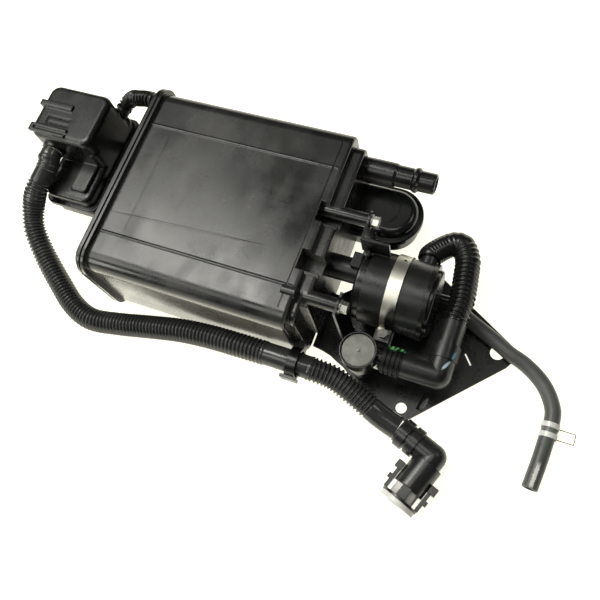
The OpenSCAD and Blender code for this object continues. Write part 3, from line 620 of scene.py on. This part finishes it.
# The band's marks are painted shade and painted dark reflection
BAND = Finish(
    "band_steel", Look.METAL, (0.84, 0.82, 0.73), (0.66, 0.64, 0.56),
    haze_share=0.3, gloss=(0.34, 0.42), patch=40.0, grain_depth=0.00001, edge=0.0,
    marks=BAND_PAINTED_SHADE,
)
ZINC = Finish(
    "zinc_steel", Look.METAL, (0.7, 0.7, 0.65), (0.46, 0.45, 0.41),
    haze_share=0.5, gloss=(0.24, 0.4), patch=160.0, edge=0.0003,
)
DULL = Finish(
    "dull_steel", Look.METAL, (0.1, 0.1, 0.094), (0.24, 0.235, 0.21),
    haze_share=0.5, gloss=(0.3, 0.45), patch=220.0, edge=0.0003,
)
BRASS = Finish(
    "insert_brass", Look.METAL, (0.72, 0.52, 0.24), (0.4, 0.3, 0.16),
    haze_share=0.4, gloss=(0.25, 0.4), patch=160.0,
)
DISC = Finish(
    "disc_plastic", Look.MOULDED, (0.17, 0.17, 0.15), (0.29, 0.29, 0.262),
    haze_share=0.7, gloss=(0.34, 0.46), patch=150.0, marks=DISC_SPOT,
)
MILKY = Finish(
    "milky_plastic", Look.MOULDED, (0.86, 0.85, 0.8), (0.74, 0.73, 0.68),
    haze_share=0.3, gloss=(0.2, 0.32), patch=90.0,
)
FELT = Finish(
    "bed_felt", Look.FIBRE, (0.62, 0.6, 0.54), (0.45, 0.43, 0.38),
    haze_share=0.5, gloss=(0.85, 0.95), patch=60.0, grain=1400.0, grain_depth=0.0003, edge=0.0, shine=0.1,
)
CHARCOAL = Finish(
    "bed_charcoal", Look.FIBRE, (0.012, 0.012, 0.012), (0.03, 0.03, 0.03),
    haze_share=0.6, gloss=(0.7, 0.9), patch=90.0, grain=500.0, grain_depth=0.0008, edge=0.0, shine=0.1,
)
PAPER = Finish(
    "filter_paper", Look.FIBRE, (0.55, 0.5, 0.38), (0.42, 0.38, 0.28),
    haze_share=0.4, gloss=(0.8, 0.9), patch=90.0, grain=800.0, grain_depth=0.0003, edge=0.0, shine=0.1,
)
FOAM = Finish(
    "filter_foam", Look.FIBRE, (0.12, 0.12, 0.11), (0.05, 0.05, 0.05),
    haze_share=0.6, gloss=(0.85, 0.95), patch=120.0, grain=900.0, grain_depth=0.0006, edge=0.0, shine=0.1,
)
SEAL = Finish(
    "seal_rubber", Look.RUBBER, (0.03, 0.07, 0.03), (0.06, 0.1, 0.05),
    haze_share=0.3, gloss=(0.3, 0.4), patch=90.0, edge=0.0,
)
TAG = TagFinish()


@dataclass(frozen=True)
class Photographer:
    """Camera fitted to the photograph, placed in metres in the object's frame.

    The focal length and the image's width are in pixels, the sensor's width in millimetres.
    """

    eye: Point = (0.28145, -0.24921, 0.68457)
    right: Point = (0.9227, 0.3481, -0.1658)
    up: Point = (-0.2749, 0.8954, 0.3502)
    back: Point = (0.2703, -0.2775, 0.9219)
    focal: float = 692.1
    image: float = 600.0
    sensor: float = 36.0
    near: float = 0.01

    def build(self) -> bpy.types.Object:
        """Makes the camera and sets it as the scene's own.

        Returns:
            The camera.
        """
        data = bpy.data.cameras.new("camera")
        data.sensor_fit = "HORIZONTAL"
        data.sensor_width = self.sensor
        data.lens = self.focal / self.image * self.sensor
        data.clip_start = self.near
        camera = bpy.data.objects.new("camera", data)
        turn = Matrix((self.right, self.up, self.back)).transposed().to_4x4()
        camera.matrix_world = Matrix.Translation(self.eye) @ turn
        bpy.context.scene.collection.objects.link(camera)
        bpy.context.scene.camera = camera
        LOG.info("camera: lens %.1f", data.lens)
        return camera


@dataclass(frozen=True)
class Lamp:
    """Soft rectangular lamp that shines at a point, placed by compass angle, height angle and distance."""

    name: str
    azimuth: float
    height: float
    power: float
    size: tuple[float, float] = (0.7, 0.7)
    distance: float = 2.0
    colour: Colour = (1.0, 0.99, 0.93)
    aim: Point = (0.05, -0.03, 0.05)

    def build(self) -> bpy.types.Object:
        """Makes the lamp and turns it to its aim.

        Returns:
            The lamp.
        """
        data = bpy.data.lights.new(self.name, "AREA")
        data.shape = "RECTANGLE"
        data.size, data.size_y = self.size
        data.energy = self.power
        data.color = self.colour
        lamp = bpy.data.objects.new(self.name, data)
        compass = math.radians(self.azimuth)
        up = math.radians(self.height)
        way = Vector((math.cos(up) * math.cos(compass), math.cos(up) * math.sin(compass), math.sin(up)))
        lamp.location = Vector(self.aim) + way * self.distance
        lamp.rotation_euler = (-way).to_track_quat("-Z", "Y").to_euler()
        bpy.context.scene.collection.objects.link(lamp)
        LOG.info("lamp %s: power %.1f", self.name, self.power)
        return lamp


@dataclass(frozen=True)
class Studio:
    """Pale table, dim surroundings and soft lamps."""

    table_size: float = 6.0
    table_drop: float = 0.0005
    table_colour: Colour = (0.82, 0.80, 0.72)
    table_roughness: float = 0.9
    table_shine: float = 0.1
    glow_colour: Colour = (1.0, 0.975, 0.84)
    glow: float = 1.0
    ambient: float = 0.05
    horizon: Span = (0.02, 0.1)
    lamps: tuple[Lamp, ...] = (
        Lamp("key", 161, 69, 10.5, (0.6, 0.6)),
        Lamp("low_key", 165, 50, 5.4, (0.6, 0.6)),
        Lamp("mid_key", 152, 60, 4.2, (0.6, 0.6)),
        Lamp("left", 203, 50, 6.4, (0.8, 0.7)),
        Lamp("low_left", 225, 25, 7.6, (0.6, 0.6)),
        Lamp("back", 140, 48, 1.0, (0.6, 0.6)),
        Lamp("back_right", 110, 55, 0.5, (0.5, 0.5)),
        Lamp("right_back", 33, 50, 2.4, (0.4, 0.4)),
        Lamp("overhead", 0, 88, 3.5, (0.6, 0.6)),
        Lamp("front", 243, 58, 5.0, (0.6, 0.8)),
    )

    def build(self) -> None:
        """Makes the table, the world and the lamps."""
        self.make_table()
        self.make_world()
        for lamp in self.lamps:
            lamp.build()

    def make_table(self) -> None:
        """Flat table just under the object, white to the camera and with the object's shadow on it."""
        half = self.table_size / 2
        mesh = bpy.data.meshes.new("table")
        corners = [(-half, -half, 0), (half, -half, 0), (half, half, 0), (-half, half, 0)]
        mesh.from_pydata(corners, [], [(0, 1, 2, 3)])
        table = bpy.data.objects.new("table", mesh)
        table.location = (0, 0, -self.table_drop)
        bpy.context.scene.collection.objects.link(table)
        sheet = NodeSheet("table_white")
        sheet.shader.inputs["Base Color"].default_value = (*self.table_colour, 1)
        sheet.shader.inputs["Roughness"].default_value = self.table_roughness
        sheet.shader.inputs["Specular IOR Level"].default_value = self.table_shine
        sheet.shader.inputs["Emission Color"].default_value = (*self.glow_colour, 1)
        path = sheet.add("ShaderNodeLightPath")
        seen = sheet.reckon("MAXIMUM", path.outputs["Is Camera Ray"], path.outputs["Is Glossy Ray"])
        seen = sheet.reckon("MAXIMUM", seen, path.outputs["Is Transmission Ray"])
        sheet.join(sheet.spread(seen, 0.0, 1.0, 0.0, self.glow), sheet.shader.inputs["Emission Strength"])
        mesh.materials.append(sheet.material)
        LOG.info("table: %.1f m wide", self.table_size)

    def make_world(self) -> None:
        """Surroundings: a dim level for light, full white to the camera and through clear film.

        Gloss sees that white near the horizon, where the table's white runs on, and the dim level above it.
        """
        world = bpy.data.worlds.new("surroundings")
        world.use_nodes = True
        board = NodeBoard(world.node_tree)
        light = board.tree.nodes["Background"]
        white = board.add("ShaderNodeBackground")
        for node, strength in ((light, self.ambient), (white, self.glow)):
            node.inputs["Color"].default_value = (1, 1, 1, 1)
            node.inputs["Strength"].default_value = strength
        coords = board.add("ShaderNodeTexCoord")
        low = board.spread(board.part(coords.outputs["Generated"], "Z"), *self.horizon, 1.0, 0.0)
        path = board.add("ShaderNodeLightPath")
        gloss = board.reckon("MULTIPLY", path.outputs["Is Glossy Ray"], low)
        seen = board.reckon("MAXIMUM", path.outputs["Is Camera Ray"], path.outputs["Is Transmission Ray"])
        seen = board.reckon("MAXIMUM", seen, gloss)
        choose = board.add("ShaderNodeMixShader")
        board.join(seen, choose.inputs["Fac"])
        board.join(light.outputs["Background"], choose.inputs[1])
        board.join(white.outputs["Background"], choose.inputs[2])
        board.join(choose.outputs["Shader"], board.tree.nodes["World Output"].inputs["Surface"])
        bpy.context.scene.world = world


class Shelf:
    """Keeps each finish's material, made once."""

    def __init__(self) -> None:
        """Starts empty."""
        self.made: dict[Finish | TagFinish, bpy.types.Material] = {}

    def get(self, finish: Finish | TagFinish) -> bpy.types.Material:
        """Gives a finish's material, and makes it at the first call.

        Args:
            finish: the finish wanted.

        Returns:
            Its material.
        """
        if finish not in self.made:
            self.made[finish] = finish.build()
        return self.made[finish]


def smooth_curve(points: np.ndarray, step: float) -> np.ndarray:
    """Smooth curve through points, cut into equal lengths.

    Between two points b and c with neighbours a and d the curve is the cubic that passes b and c
    with slopes half of c - a and d - b. The fine samples are then spaced evenly along its length.

    Args:
        points: points to pass, one row each.
        step: length of a cut.

    Returns:
        The points along the curve.
    """
    first = 2 * points[0] - points[1]
    last = 2 * points[-1] - points[-2]
    padded = np.vstack([first, points, last])
    f = np.linspace(0, 1, CURVE_CUTS, endpoint=False)[None, :, None]
    a, b, c, d = (padded[k:len(padded) - 3 + k][:, None, :] for k in range(4))
    square = 2 * a - 5 * b + 4 * c - d
    cube = 3 * b - a - 3 * c + d
    cubic = 0.5 * (2 * b + (c - a) * f + square * f**2 + cube * f**3)
    fine = np.vstack([cubic.reshape(-1, 3), points[-1]])
    reach = path_length(fine)
    even = np.linspace(0, reach[-1], max(2, int(round(reach[-1] / step)) + 1))
    return np.stack([np.interp(even, reach, fine[:, k]) for k in range(3)], axis=1)


def path_length(path: np.ndarray) -> np.ndarray:
    """Length along a path up to each of its points."""
    return np.concatenate([[0], np.cumsum(np.linalg.norm(np.diff(path, axis=0), axis=1))])


def directions(path: np.ndarray) -> np.ndarray:
    """Unit direction of a path at each of its points."""
    along = np.gradient(path, axis=0)
    return along / np.linalg.norm(along, axis=1)[:, None]


def rings(centres: np.ndarray, along: np.ndarray, radius: np.ndarray, sides: int) -> np.ndarray:
    """Rings square to given directions: centre plus radius times cosine and sine along two cross directions.

    The first cross direction is level, square to the ring's direction, and the second completes the frame.

    Args:
        centres: centres of the rings.
        along: unit direction of each ring, none of them upright.
        radius: radius of each ring.
        sides: points of a ring.

    Returns:
        An array of rings, points and coordinates.
    """
    level = np.cross(np.array([0.0, 0.0, 1.0]), along)
    level = level / np.linalg.norm(level, axis=1)[:, None]
    over = np.cross(along, level)
    angle = np.linspace(0, 2 * math.pi, sides, endpoint=False)[None, :, None]
    wheel = np.cos(angle) * level[:, None, :] + np.sin(angle) * over[:, None, :]
    return centres[:, None, :] + radius[:, None, None] * wheel


def tube_mesh(name: str, grid: np.ndarray, along: np.ndarray) -> bpy.types.Mesh:
    """Closed tube from rings of points, with a fan of triangles on each end.

    Args:
        name: name of the mesh.
        grid: rings, points and coordinates.
        along: the UV map's value along the tube at each ring.

    Returns:
        The mesh, with a UV map that runs round and along it.
    """
    count, sides = grid.shape[:2]
    index = np.arange(count * sides).reshape(count, sides)
    turned = np.roll(index, -1, axis=1)
    quads = np.stack([index[:-1], turned[:-1], turned[1:], index[1:]], axis=-1).reshape(-1, 4)
    foot = np.full(sides, count * sides)
    start = np.stack([turned[0], index[0], foot], axis=-1)
    stop = np.stack([index[-1], turned[-1], foot + 1], axis=-1)
    points = np.vstack([grid.reshape(-1, 3), grid[0].mean(axis=0), grid[-1].mean(axis=0)])
    mesh = bpy.data.meshes.new(name)
    mesh.from_pydata(points.tolist(), [], quads.tolist() + start.tolist() + stop.tolist())
    row = np.repeat(np.arange(count - 1), sides)[:, None] + np.array([0, 0, 1, 1])
    column = np.tile(np.arange(sides), count - 1)[:, None] + np.array([0, 1, 1, 0])
    side_uv = np.stack([column / sides, along[row]], axis=-1).reshape(-1, 2)
    end_uv = np.zeros((6 * sides, 2))
    mesh.uv_layers.new(name="UVMap").data.foreach_set("uv", np.vstack([side_uv, end_uv]).ravel())
    mesh.polygons.foreach_set("use_smooth", np.ones(len(mesh.polygons), dtype=bool))
    mesh.update()
    return mesh


def add_piece(name: str, mesh: bpy.types.Mesh, finish: bpy.types.Material) -> bpy.types.Object:
    """Puts a mesh into the scene as a piece of the object.

    Args:
        name: name of the piece.
        mesh: its mesh, in metres and in place.
        finish: its material.

    Returns:
        The piece.
    """
    mesh.materials.append(finish)
    piece = bpy.data.objects.new(name, mesh)
    bpy.context.scene.collection.objects.link(piece)
    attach(piece, BODY)
    LOG.info("%s: %d faces", name, len(mesh.polygons))
    return piece


@dataclass(frozen=True)
class Stretch:
    """Part of a hose, between two lengths in millimetres, with its outer radius and its corrugation."""

    start: float
    end: float
    radius: float
    depth: float = 0.0
    pitch: float = 5.0


@dataclass(frozen=True)
class Barb:
    """Raised ring on a hose: where it lies along the hose, its height and its half width, in millimetres."""

    at: float
    height: float = 0.9
    half: float = 1.6


@dataclass
class Hose:
    """Hose along listed points in millimetres, made of plain and corrugated stretches.

    A hose with a bore has an open last end, whose rim is rounded by the lip's sizes.
    """

    name: str
    nodes: tuple[str, ...]
    points: Sequence[Point]
    stretches: tuple[Stretch, ...]
    barbs: tuple[Barb, ...] = ()
    slot: str = "hose_rubber"
    sides: int = 44
    step: float = 0.42
    bore: float = 0.0
    bore_depth: float = 12.0
    lip_round: float = 0.6
    lip_inside: float = 0.5
    lip_depth: float = 0.8
    path: np.ndarray = field(init=False)

    def __post_init__(self) -> None:
        """Works out the centre line."""
        self.path = smooth_curve(np.array(self.points, dtype=float), self.step) * MM

    def length(self) -> float:
        """Length of the centre line in metres."""
        return float(path_length(self.path)[-1])

    def radii(self) -> np.ndarray:
        """Radius along the hose in metres.

        A corrugated stretch is a row of narrow crests: the outer radius less the depth times one minus the
        cosine of a quarter turn times x, squared, where x runs from -1 to 1 over each pitch. A barb is half
        an ellipse.

        Returns:
            One radius for each point of the path.
        """
        reach = path_length(self.path) / MM
        radius = np.full(len(reach), self.stretches[0].radius)
        for part in self.stretches:
            x = 2 * np.mod((reach - part.start) / part.pitch, 1.0) - 1
            crest = part.radius - part.depth * (1 - np.cos(math.pi / 2 * x) ** 2)
            radius = np.where((reach >= part.start) & (reach <= part.end), crest, radius)
        for barb in self.barbs:
            bulge = np.sqrt(np.clip(1 - ((reach - barb.at) / barb.half) ** 2, 0, None))
            radius = radius + barb.height * bulge
        return radius * MM

    def build(self, finish: bpy.types.Material) -> bpy.types.Object:
        """Makes the hose and lets it stand for its solid.

        Args:
            finish: the hose's material.

        Returns:
            The piece.
        """
        centres = self.path
        ways = directions(centres)
        radius = self.radii()
        reach = path_length(centres)
        if self.bore > 0:
            centres, ways, radius, reach = self.open_end(centres, ways, radius, reach)
        mesh = tube_mesh(self.name, rings(centres, ways, radius, self.sides), reach)
        piece = add_piece(self.name, mesh, finish)
        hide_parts(*self.nodes)
        return piece

    def open_end(self, centres: np.ndarray, ways: np.ndarray, radius: np.ndarray,
                 reach: np.ndarray) -> tuple[np.ndarray, np.ndarray, np.ndarray, np.ndarray]:
        """Adds rings that turn the last end inwards, down a bore of the hose's own depth.

        Args:
            centres: centres of the outer rings.
            ways: their directions.
            radius: their radii.
            reach: their lengths along the hose.

        Returns:
            The four arrays with the inner rings added.
        """
        end, way = centres[-1], ways[-1]
        back = np.array([0.0, 0.0, self.lip_depth, self.bore_depth])[:, None] * MM
        rim = self.stretches[-1].radius - self.lip_round
        lip = np.array([rim, self.bore + self.lip_inside, self.bore, self.bore]) * MM
        added = len(lip)
        centres = np.vstack([centres[:-1], end - self.lip_round * MM * way, end - back * way])
        ways = np.vstack([ways, np.tile(way, (added, 1))])
        radius = np.concatenate([radius, lip])
        reach = np.concatenate([reach, np.full(added, reach[-1])])
        return centres, ways, radius, reach


def shift(start: Point, *steps: Point) -> list[Point]:
    """Points given as steps from a start."""
    return [tuple(a + b for a, b in zip(start, step)) for step in steps]


# Long hose, from the filter box to its free connector
LONG_START: Point = (-227.0, 17.1, 77.0)
LONG_HOSE = Hose(
    "long_hose",
    ("purge_hose",),
    shift(LONG_START, (0, 0, 0), (0, -8, 0), (0.4, -17.4, -3.6)) + [
        (-232, -25.3, 65.5), (-236, -38.2, 54), (-236, -50.3, 45), (-231, -64.4, 37), (-219.8, -78.5, 29),
        (-204.6, -93.2, 22), (-182.6, -110.6, 17), (-157.5, -127.8, 15), (-128.7, -136.8, 16),
        (-93.7, -133, 19), (-55, -126.5, 25), (-17.7, -121.5, 33), (18.2, -119.4, 39), (53, -119.2, 43),
        (90.8, -119, 45), (112.3, -119.3, 45), (129.3, -119.4, 43), (151.4, -120.2, 37), (173, -126.5, 30),
        (193.6, -134.5, 24), (205.3, -138.8, 21.5), (222.7, -143.7, 19.4),
    ],
    (
        Stretch(0, 38, 11.4),
        Stretch(38, 437, 12.5, 2.3, 4.2),
        Stretch(437, 488, 11.5),
        Stretch(488, 556, 12.5, 2.3, 4.2),
        Stretch(556, 700, 11.5),
    ),
    (Barb(9.0), Barb(14.5), Barb(20.0), Barb(438.0, 0.7, 2.0), Barb(487.0, 0.7, 2.0)),
)

# Drain hose, from the module to its bare end
DRAIN_START: Point = (234.1, -8.0, 26.0)
DRAIN_HOSE = Hose(
    "bare_drain_hose",
    ("drain_hose",),
    [
        DRAIN_START, (237.5, -8, 26), (244.5, -11, 21.5), (251.4, -15.5, 16.5), (268.5, -22.3, 12.8),
        (285.5, -29.6, 11.4), (302.4, -37.8, 10.8), (313.2, -41.4, 10), (324.2, -46.5, 9.2),
        (335.6, -54.2, 9), (344.3, -63.1, 9), (351.2, -74, 9), (354.3, -82.9, 9), (355, -95.6, 9),
        (354.1, -110.6, 9), (353.3, -127.3, 9), (351.8, -145, 9), (350.9, -155.7, 9),
    ],
    (Stretch(0, 400, 7.5),),
    sides=36,
    step=1.5,
    bore=5.0,
)

# Loop from the elbow round to the module
LOOP_START: Point = (245, -38, 54)
LOOP_END: Point = (204.5, 20, 50)
LOOP_HOSE = Hose(
    "loop_hose_bellows",
    ("loop_hose",),
    shift(LOOP_START, (0, 0.5, 0), (0, 4.3, 0), (1.0, 14, 0), (0.8, 26.5, -0.5), (-0.8, 39, -1),
          (-3, 54, -2))
    + shift(LOOP_END, (35, 9, 0.8), (27.6, 21, 0.4), (20.3, 22.6, 0), (12.8, 18.5, 0), (4.5, 10, 0),
            (0, 3.5, 0), (0, 0.6, 0)),
    (
        Stretch(0, 2, 11.4),
        Stretch(2, 62, 12.5, 2.1, 4.55),
        Stretch(62, 80.2, 12.5, 1.1, 4.55),
        Stretch(80.2, 98.4, 12.4, 0.5, 4.55),
        Stretch(98.4, 300, 12.3, 0.2, 3.0),
    ),
)

# Short link from the filter box to the end cover
LINK_START: Point = (-176.5, 93, 67)
LINK_END: Point = (-127.5, 100, 91)
LINK_HOSE = Hose(
    "link_hose_bellows",
    ("link_hose",),
    shift(LINK_START, (0, 0.4, 0), (0.2, 5, 0), (5, 11, 4), (13.5, 12, 11))
    + shift(LINK_END, (-26, 1.8, -6.5), (-14, 1, -2), (-5, 0, 0), (-0.4, 0, 0)),
    (Stretch(0, 200, 9.0, 2.6, 4.5),),
)

# White stripe near the drain hose's bare end
DRAIN_STRIPE = Stripe(
    middle=0.25, half=0.042, start=DRAIN_HOSE.length() - 0.026, end=DRAIN_HOSE.length() - 0.003,
    colour=(0.8, 0.8, 0.76),
)
DRAIN = Finish(
    "drain_rubber", Look.RUBBER, (0.08, 0.084, 0.08), (0.13, 0.132, 0.125),
    haze_share=0.45, gloss=(0.34, 0.48), patch=40.0, edge=0.0, marks=DRAIN_DABS, stripe=DRAIN_STRIPE,
)


@dataclass
class Group:
    """Sub-assembly: the finish of each of its solids."""

    name: str
    solids: dict[str, Finish | TagFinish]

    def build(self, shelf: Shelf) -> None:
        """Gives the solids their finishes, then adds the fine pieces.

        Args:
            shelf: where the materials are kept.
        """
        for name, finish in self.solids.items():
            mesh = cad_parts[name].data
            mesh.materials.clear()
            mesh.materials.append(shelf.get(finish))
            LOG.info("%s, %s: %s", self.name, name, finish.name)
        self.add_fine(shelf)

    def add_fine(self, shelf: Shelf) -> None:
        """Adds the group's fine pieces; a plain group has none."""


@dataclass
class Hoses(Group):
    """The four hoses: two free at one end, two held at both."""

    def add_fine(self, shelf: Shelf) -> None:
        """Args:
            shelf: where the materials are kept.
        """
        long_hose = LONG_HOSE.build(shelf.get(HOSE))
        drain = DRAIN_HOSE.build(shelf.get(DRAIN))
        LOOP_HOSE.build(shelf.get(LOOP_SKIN))
        LINK_HOSE.build(shelf.get(LOOP_SKIN))


@dataclass
class Valve(Group):
    """Valve with its sleeve and elbow; adds the elbow's moulding seam and the ear of the port's clamp.

    Places and sizes are in millimetres. The cuff is its radius, then where it begins and ends along Y.
    """

    corner: Point = (245.0, -91.0, 54.0)
    start_x: float = 213.5
    end_y: float = -38.5
    radius: float = 12.25
    cuff: tuple[float, float, float] = (13.45, -76.0, -61.0)
    spout: float = 11.45
    bead: float = 0.6
    bead_sides: int = 8
    lead_cuts: int = 24
    bend_cuts: int = 20
    rise_cuts: int = 90
    ear_at: Point = (189.6, -97.6, 56.0)
    ear_depth: tuple[float, ...] = (0.0, 4.2, 5.0, 5.5, 5.8)
    ear_radius: tuple[float, ...] = (3.3, 3.3, 3.0, 2.2, 0.9)
    ear_sides: int = 28

    def add_fine(self, shelf: Shelf) -> None:
        """Adds the seam and the ear."""
        self.add_seam(shelf)
        self.add_ear(shelf)

    def seam_path(self) -> np.ndarray:
        """Line on the elbow's outer side, level with its middle.

        Straight along the first leg, a quarter circle round the corner, then along the second leg, where its
        distance from the axis follows the leg's radius.

        Returns:
            Points in millimetres.
        """
        x, y, z = self.corner
        lead = np.linspace(self.start_x, x, self.lead_cuts, endpoint=False)
        first = np.stack([lead, np.full(self.lead_cuts, y - self.radius)], axis=1)
        turn = np.linspace(-math.pi / 2, 0, self.bend_cuts, endpoint=False)[:, None]
        bend = np.array([x, y]) + self.radius * np.hstack([np.cos(turn), np.sin(turn)])
        rise = np.linspace(y, self.end_y, self.rise_cuts)
        cuff, low, high = self.cuff
        out = np.where(rise < low, self.radius, np.where(rise < high, cuff, self.spout))
        flat = np.vstack([first, bend, np.stack([x + out, rise], axis=1)])
        return np.hstack([flat, np.full((len(flat), 1), z)])

    def add_seam(self, shelf: Shelf) -> None:
        """Bead of round section along the seam line, lighter grey as a painted highlight.

        Args:
            shelf: where the materials are kept.
        """
        path = self.seam_path() * MM
        grid = rings(path, directions(path), np.full(len(path), self.bead * MM), self.bead_sides)
        mesh = tube_mesh("elbow_seam", grid, path_length(path))
        add_piece("elbow_seam", mesh, shelf.get(SEAM_PAINTED_HIGHLIGHT))

    def add_ear(self, shelf: Shelf) -> None:
        """Round ear that stands forward from the port.

        It is a turned profile of radius over depth, domed at its end.

        Args:
            shelf: where the materials are kept.
        """
        depth = np.array(self.ear_depth)
        along = np.tile(np.array([0.0, -1.0, 0.0]), (len(depth), 1))
        centres = (np.array(self.ear_at) + depth[:, None] * along) * MM
        grid = rings(centres, along, np.array(self.ear_radius) * MM, self.ear_sides)
        add_piece("port_ear", tube_mesh("port_ear", grid, depth * MM), shelf.get(ZINC))


GROUPS: tuple[Group, ...] = (
    Hoses("hoses", {"hose_tag": TAG, "vent_coupling": RUBBER, "hose_clip": BLACK}),
    Group("case", {"canister_case": CASE, "end_cover": CASE, "vapour_trap": TRAP, "boss_inserts": BRASS}),
    Group("box", {"filter_box_body": BOX, "filter_box_base": BOX, "filter_pad": FOAM}),
    Group("module", {
        "module_body": MODULE, "module_left_cap": BLACK, "module_right_cap": BLACK,
        "module_connector": BLACK, "module_filter": PAPER, "band_clamp": BAND, "band_screw": DULL,
    }),
    Valve("valve", {"vent_valve": BLACK, "valve_cap": DISC, "valve_sleeve": SLEEVE, "valve_elbow": RUBBER}),
    Group("bracket", {"module_bracket": PLATE, "bracket_bolts": ZINC}),
    Group("connector", {
        "connector_elbow": NECK, "connector_latch": NECK, "connector_retainer": MILKY,
        "connector_seal": SEAL,
    }),
    Group("beds", {
        "main_bed": CHARCOAL, "rear_bed": CHARCOAL, "front_bed": CHARCOAL, "main_port_pad": FELT,
        "rear_port_pad": FELT, "front_port_pad": FELT, "main_spring_pad": FELT, "rear_spring_pad": FELT,
        "front_spring_pad": FELT, "main_pressure_plate": BLACK, "rear_pressure_plate": BLACK,
        "front_pressure_plate": BLACK, "bed_springs": ZINC,
    }),
)


def main() -> None:
    """Builds the scene in order: camera, the groups of the object, studio."""
    logging.basicConfig(level=logging.INFO)
    bpy.context.scene.view_settings.view_transform = "Standard"
    Photographer().build()
    shelf = Shelf()
    for group in GROUPS:
        group.build(shelf)
    Studio().build()


if __name__ == "__main__":
    main()
